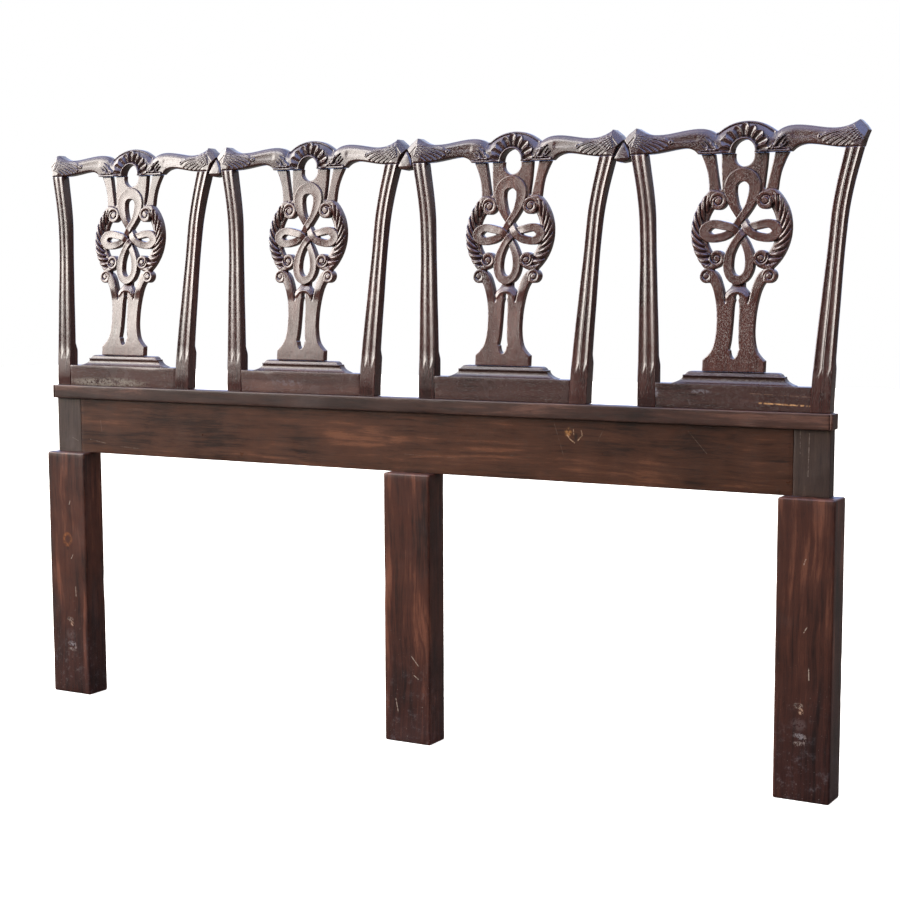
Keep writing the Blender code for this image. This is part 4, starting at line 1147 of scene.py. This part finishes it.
# ------------------------------------------------------------------ finishes: grain axis, dark, mid, light
carved_wood = wood("carved_mahogany", 2, (0.022, 0.0080, 0.0066), (0.066, 0.0250, 0.0196),
                   (0.130, 0.054, 0.041), rough=0.145, coat=0.38, figure=0.60, cavity=0.9, edge=0.38, seed=1.3)
crest_wood = wood("crest_mahogany", 0, (0.016, 0.0066, 0.0058), (0.049, 0.0205, 0.0168),
                  (0.110, 0.048, 0.039), rough=0.165, coat=0.38, figure=0.35, cavity=0.9, edge=0.40, seed=2.1)
stile_wood = wood("stile_mahogany", 2, (0.015, 0.0058, 0.0050), (0.051, 0.0195, 0.0155),
                  (0.115, 0.048, 0.038), rough=0.16, coat=0.42, figure=0.8, cavity=0.7, edge=0.4, seed=3.7)
seat_wood = wood("seat_rail_mahogany", 0, (0.026, 0.0115, 0.0095), (0.066, 0.0300, 0.0240),
                 (0.125, 0.062, 0.049), rough=0.26, coat=0.22, figure=0.8, haze=0.25, seed=5.2,
                 marks=seat_marks)
rail_wood = wood("rail_mahogany", 0, (0.015, 0.0058, 0.0036), (0.065, 0.0250, 0.0135),
                 (0.165, 0.064, 0.033), rough=0.30, coat=0.08, figure=0.95, edge=0.6, seed=6.4, spec=0.25,
                 marks=rail_marks)
end_wood = wood("end_board_walnut", 2, (0.022, 0.0125, 0.0098), (0.060, 0.0360, 0.0275),
                (0.125, 0.078, 0.060), rough=0.40, coat=0.06, figure=0.8, edge=0.7, haze=0.45, seed=7.9,
                spec=0.30, marks=end_marks)
# darker copy of the end-board walnut: painted shade for the right-hand end board
end_wood_painted_shade = wood("end_board_walnut_painted_shade", 2, (0.014, 0.0076, 0.0060), (0.038, 0.0225, 0.0170),
                     (0.088, 0.052, 0.039), rough=0.40, coat=0.06, figure=0.8, edge=0.7, haze=0.12,
                     seed=8.3, spec=0.28, marks=end_marks)
cap_wood = wood("cap_mahogany", 0, (0.012, 0.0050, 0.0038), (0.041, 0.0180, 0.0125), (0.120, 0.056, 0.040),
                rough=0.34, coat=0.10, figure=0.9, edge=0.95, haze=0.22, seed=8.8, spec=0.30)


def leg_wood(side, seed, shift=0.0, **marked):
    """shift moves the marks sideways from the middle of the leg."""
    low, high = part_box(f"leg_{side}")
    middle = 500.0 * (low.x + high.x) * MM + shift
    return wood(f"leg_mahogany_{side}", 2, (0.014, 0.0048, 0.0036), (0.065, 0.0200, 0.0118),
                (0.185, 0.064, 0.035), rough=0.34, coat=0.08, figure=1.0, edge=0.75, haze=0.22, spec=0.28,
                seed=seed, marks=leg_marks(middle, **marked), fig_scale=(1.9, 22.0))


leg_woods = {"left": leg_wood("left", 9.1, shift=0.003, hardware_z=0.170, stained=True),
             "centre": leg_wood("centre", 9.1 + 1),
             "right": leg_wood("right", 9.1 + 2, shift=-0.006, hardware_z=0.176)}
joinery_wood = wood("joinery_beech", 2, (0.14, 0.075, 0.036), (0.30, 0.18, 0.095), (0.42, 0.28, 0.16),
                    rough=0.6, coat=0.0, figure=0.6, edge=0.2, seed=4.0)

# ------------------------------------------------------------------ chair backs
# profile of the splat seen from the side: share of its height, slope; summed and scaled to SPLAT_LEAN
SPLAT_SLOPES = [(0, 0.092), (0.08, 0.104), (0.25, 0.132), (0.40, 0.126), (0.70, 0.108), (1.0, 0.095)]
SPLAT_LEAN = 49.0
SPLAT_SHARES = np.linspace(0, 1, 45)
SEAT_HALF = 170.0      # nominal half length of a seat rail before it is fitted to the stiles
GAP = 0.3              # between seat rail and stile

slopes = table(SPLAT_SLOPES, SPLAT_SHARES)
splat_lean = np.concatenate([[0], np.cumsum(0.5 * (slopes[1:] + slopes[:-1]))])
splat_lean *= SPLAT_LEAN / splat_lean[-1]


def splat_y(z):
    return 7.0 + np.interp(clip01((z - 860.0) / 440.0), SPLAT_SHARES, splat_lean)


def bow(side):
    """Plan curve of the crest: its ends come forward of its middle."""
    t = clip01((side - 46.0) / 176.0)
    return 2.3 - 8.4 * (t * t * (1.6 - 0.6 * t))


def chair_back(number, splat):
    low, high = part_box(f"back{number}_splat")
    origin = np.array([500.0 * (low.x + high.x), FACE_Y, 0.0])

    def place(verts):
        return (verts + origin) * MM

    verts, faces = relief_mesh(splat, np.full(splat.x.shape, 14.0))
    spot, z = place(verts), verts[:, 2]
    verts[:, 0] += 0.18 * vnoise(spot, 55, number) * (z > 1030)
    verts[:, 1] += splat_y(z) + 0.16 * vnoise(spot, 20, number + 20)
    piece(f"splat_{number}", place(verts), faces, carved_wood, f"back{number}_splat")

    crest = crest_relief("end" if number == 1 else "inner", "end" if number == 4 else "inner")
    verts, faces = relief_mesh(crest, 24.0 - bow(crest.side), arris=1.5, arris_back=1.5)
    verts[:, 1] += (48.5 + bow(np.abs(verts[:, 0])) + 0.2 * (verts[:, 2] - 1301.0)
                    + 0.16 * vnoise(place(verts), 22, number + 40))
    piece(f"crest_{number}", place(verts), faces, crest_wood, f"back{number}_crest")

    for side, tag in ((-1, "left"), (1, "right")):
        node = f"back{number}_stile_{tag}"
        low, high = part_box(node)
        verts, faces = stile(side, low.z * 1000, high.z * 1000, seed=7 * number + side)
        piece(f"stile_{number}_{tag}", place(verts), faces, stile_wood, node, sharp=42)

    node = f"back{number}_shoe"
    verts, faces = shoe(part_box(node)[0].z * 1000 - 0.3, seed=60 + number)
    piece(f"shoe_{number}", place(verts), faces, seat_wood, node, sharp=34)

    # the seat rail widens upwards with the stiles
    node = f"back{number}_seat_rail"
    low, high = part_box(node)
    verts, faces = board((-SEAT_HALF, 1.5, low.z * 1000), (SEAT_HALF, 28.5, high.z * 1000), 0,
                         radius=1.3, step=6.0, wear=0.5, wave=0.12, seed=80 + number)
    z = verts[:, 2]
    verts[:, 0] = verts[:, 0] / SEAT_HALF * (smooth_table(OUTER, z) - smooth_table(FACE, z) - GAP)
    piece(f"seat_rail_{number}", place(verts), faces, seat_wood, node)


splat = splat_relief()
for number in range(1, 5):
    chair_back(number, splat)

# ------------------------------------------------------------------ rail, cap and legs
board_piece("rail", "rail_board", 0, rail_wood, seed=101, radius=1.2)
board_piece("end_board_left", "rail_end_left", 2, end_wood, seed=102, radius=1.2, step=6)
board_piece("end_board_right", "rail_end_right", 2, end_wood_painted_shade, seed=103, radius=1.2, step=6)
board_piece("cap_front", "cap_band", 0, cap_wood, seed=104, radius=2.6, step=5, wear=1.0)
for seed, side in ((105, "left"), (106, "right")):
    board_piece(f"cap_{side}", f"cap_return_{side}", 1, cap_wood, seed=seed, radius=1.8, step=4,
                wear=0.7)
for seed, (side, material) in enumerate(leg_woods.items(), 110):
    board_piece(f"leg_post_{side}", f"leg_{side}", 2, material, seed=seed, radius=4.2, step=8,
                wear=1.1, wave=0.3)


# ------------------------------------------------------------------ blocks between the chair backs
def spacer(number):
    """The CAD block with eased edges, drawn forward at its front and slightly uneven."""
    node = f"spacer_{number}"
    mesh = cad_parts[node].data.copy()
    mesh.materials.clear()
    mesh.materials.append(crest_wood)
    bm = bmesh.new()
    bm.from_mesh(mesh)
    bmesh.ops.remove_doubles(bm, verts=bm.verts, dist=1e-5)
    bmesh.ops.dissolve_limit(bm, angle_limit=math.radians(3), verts=bm.verts, edges=bm.edges)
    bmesh.ops.bevel(bm, geom=bm.edges[:], offset=0.0014, segments=3, profile=0.6, affect="EDGES",
                    clamp_overlap=True)
    bmesh.ops.triangulate(bm, faces=[face for face in bm.faces if len(face.verts) > 4])
    bmesh.ops.subdivide_edges(bm, edges=[edge for edge in bm.edges if edge.calc_length() > 0.006],
                              cuts=2, use_grid_fill=True)
    depths = np.array([vert.co.y for vert in bm.verts])
    front, back = depths.min(), depths.max()
    for vert in bm.verts:
        vert.co.y -= 0.0052 * (back - vert.co.y) / (back - front)
    points = np.array([vert.co[:] for vert in bm.verts])
    bm.normal_update()
    for vert, ripple in zip(bm.verts, 0.00022 * vnoise(points, 130, 200 + number)):
        vert.co += vert.normal * float(ripple - 0.0002)
    for face in bm.faces:
        face.smooth = True
    bm.to_mesh(mesh)
    bm.free()
    mesh.set_sharp_from_angle(angle=math.radians(35))
    add_object(f"spacer_block_{number}", mesh, node)


for number in (1, 2, 3):
    spacer(number)

# concealed joinery keeps its CAD shape
for name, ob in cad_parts.items():
    if any(word in name for word in ("dowel", "peg", "tenon", "tongue")):
        for slot in ob.material_slots:
            slot.material = joinery_wood

# ------------------------------------------------------------------ floor
bpy.ops.mesh.primitive_plane_add(size=24.0, location=(0, 0, 0))
floor = bpy.context.object
floor.name = "floor"
floor_material, net, bsdf = new_material("pale_floor")
camera_ray = net.get("ShaderNodeLightPath", output="Is Camera Ray")
# near white to the camera, dark to the light it would bounce up
net.fill(bsdf, {"Base Color": net.mix(camera_ray, (0.10, 0.095, 0.09), (0.86, 0.86, 0.86)),
                "Roughness": 0.9, "Specular IOR Level": 0.0, "Emission Color": (1.0, 1.0, 1.0),
                "Emission Strength": camera_ray * 0.62})
floor.data.materials.append(floor_material)


# ------------------------------------------------------------------ sky and lamps
def sky():
    """A bright bank low on the left, pale blue above, plain white to the camera."""
    world = bpy.data.worlds.new("studio")
    bpy.context.scene.world = world
    world.use_nodes = True
    net = Net(world.node_tree)
    net.locate("Generated")
    ramp = net.ramp
    degrees = 57.2958
    # azimuth is 0 straight out from the front of the headboard, negative to the left
    azimuth = net.math("ARCTAN2", net.x, net.y * -1.0) * degrees
    elevation = net.math("ARCSINE", net.z) * degrees
    path = net.node("ShaderNodeLightPath").outputs
    diffuse_ray, camera_ray = (Signal(net, path[name]) for name in ("Is Diffuse Ray", "Is Camera Ray"))

    bank = ((ramp(azimuth, off=-27.0, full=-46.0) * ramp(azimuth, off=-104.0, full=-80.0))
            * (ramp(elevation, off=2.0, full=8.5) * ramp(elevation, off=43.0, full=24.5, low=0.11)))
    bank = bank * ramp(elevation, off=88.0, full=60.0)
    # dim ground, and a sky that is stronger to the right
    rightward = ramp(net.x, off=-0.45, full=0.55)
    ground = net.mix(ramp(elevation, off=-6.0, full=3.0), (0.050, 0.042, 0.036), (0.085, 0.078, 0.072))
    blue = net.mix(rightward, (1.15, 1.50, 2.60), (2.1, 2.9, 5.6))
    soft = net.mix(rightward, (0.70, 0.68, 0.67), (1.30, 1.24, 1.22))
    colour = net.mix(ramp(elevation, off=18.0, full=56.0), ground, net.mix(diffuse_ray, blue, soft))
    # blue at the left rear, seen in reflections only
    left = (ramp(azimuth, off=-86.0, full=-110.0)
            * (ramp(elevation, off=-12.0, full=4.0) * (1.0 - diffuse_ray)))
    colour = net.mix(left, colour, (0.75, 1.0, 1.8))
    right = ramp(azimuth, off=50.0, full=80.0) * ramp(azimuth, off=140.0, full=100.0)
    right = right * ramp(elevation, off=2.0, full=14.0)
    colour = net.mix(right * 0.8, colour, (0.80, 0.70, 0.60))
    behind = ramp(net.y, off=0.15, full=0.6) * ramp(elevation, off=4.0, full=24.0)
    behind_colour = net.mix(diffuse_ray, (0.85, 0.88, 0.95), (2.3, 2.2, 2.1))
    colour = net.mix(behind * ramp(diffuse_ray, off=0.0, full=1.0, low=0.6), colour, behind_colour)

    bank = bank * ramp(diffuse_ray, off=0.0, full=1.0, low=1.0, high=0.80)
    light = net.get("ShaderNodeVectorMath", {0: net.xyz(bank, bank, bank), 1: (15.6, 14.8, 13.8), 2: colour},
                    operation="MULTIPLY_ADD")
    net.fill(net.find("BACKGROUND"), {"Color": net.mix(camera_ray, light, (1.0, 1.0, 1.0)),
                                      "Strength": 1.0})


def lamp(name, location, size, power, colour):
    """Round area light aimed at the middle of the headboard."""
    light = bpy.data.lights.new(name, "AREA")
    light.shape = "DISK"
    light.size = size
    light.energy = power
    light.color = colour
    ob = bpy.data.objects.new(name, light)
    ob.location = location
    aim = Vector((0, 0, 0.5)) - Vector(location)
    ob.rotation_euler = aim.to_track_quat("-Z", "Y").to_euler()
    bpy.context.scene.collection.objects.link(ob)


sky()
lamp("soft_key", (-2.6, -3.2, 4.6), size=1.6, power=45, colour=(1.0, 0.97, 0.94))
lamp("soft_fill", (4.2, -0.6, 2.2), size=2.0, power=26, colour=(1.0, 0.94, 0.88))

# ------------------------------------------------------------------ camera
# yaw turns it left from +Y, pitch tips it down
yaw, pitch, roll = map(math.radians, (29.8196, 6.6623, -0.2125))
forward = Vector((-math.sin(yaw) * math.cos(pitch), math.cos(yaw) * math.cos(pitch), -math.sin(pitch)))
level = Vector((math.cos(yaw), math.sin(yaw), 0))
upright = level.cross(forward)
right = math.cos(roll) * level + math.sin(roll) * upright
up = -math.sin(roll) * level + math.cos(roll) * upright
camera_data = bpy.data.cameras.new("camera")
camera_data.sensor_width = 36.0
camera_data.lens = 70.87996
camera_data.shift_x = 0.0041436667
camera_data.shift_y = 0.029449333
camera = bpy.data.objects.new("camera", camera_data)
camera.matrix_world = Matrix(((right.x, up.x, -forward.x, 2.06860),
                              (right.y, up.y, -forward.y, -3.38451 + FACE_Y * MM),
                              (right.z, up.z, -forward.z, 1.06578), (0, 0, 0, 1)))
bpy.context.scene.collection.objects.link(camera)
bpy.context.scene.camera = camera
bpy.context.scene.view_settings.view_transform = "Standard"
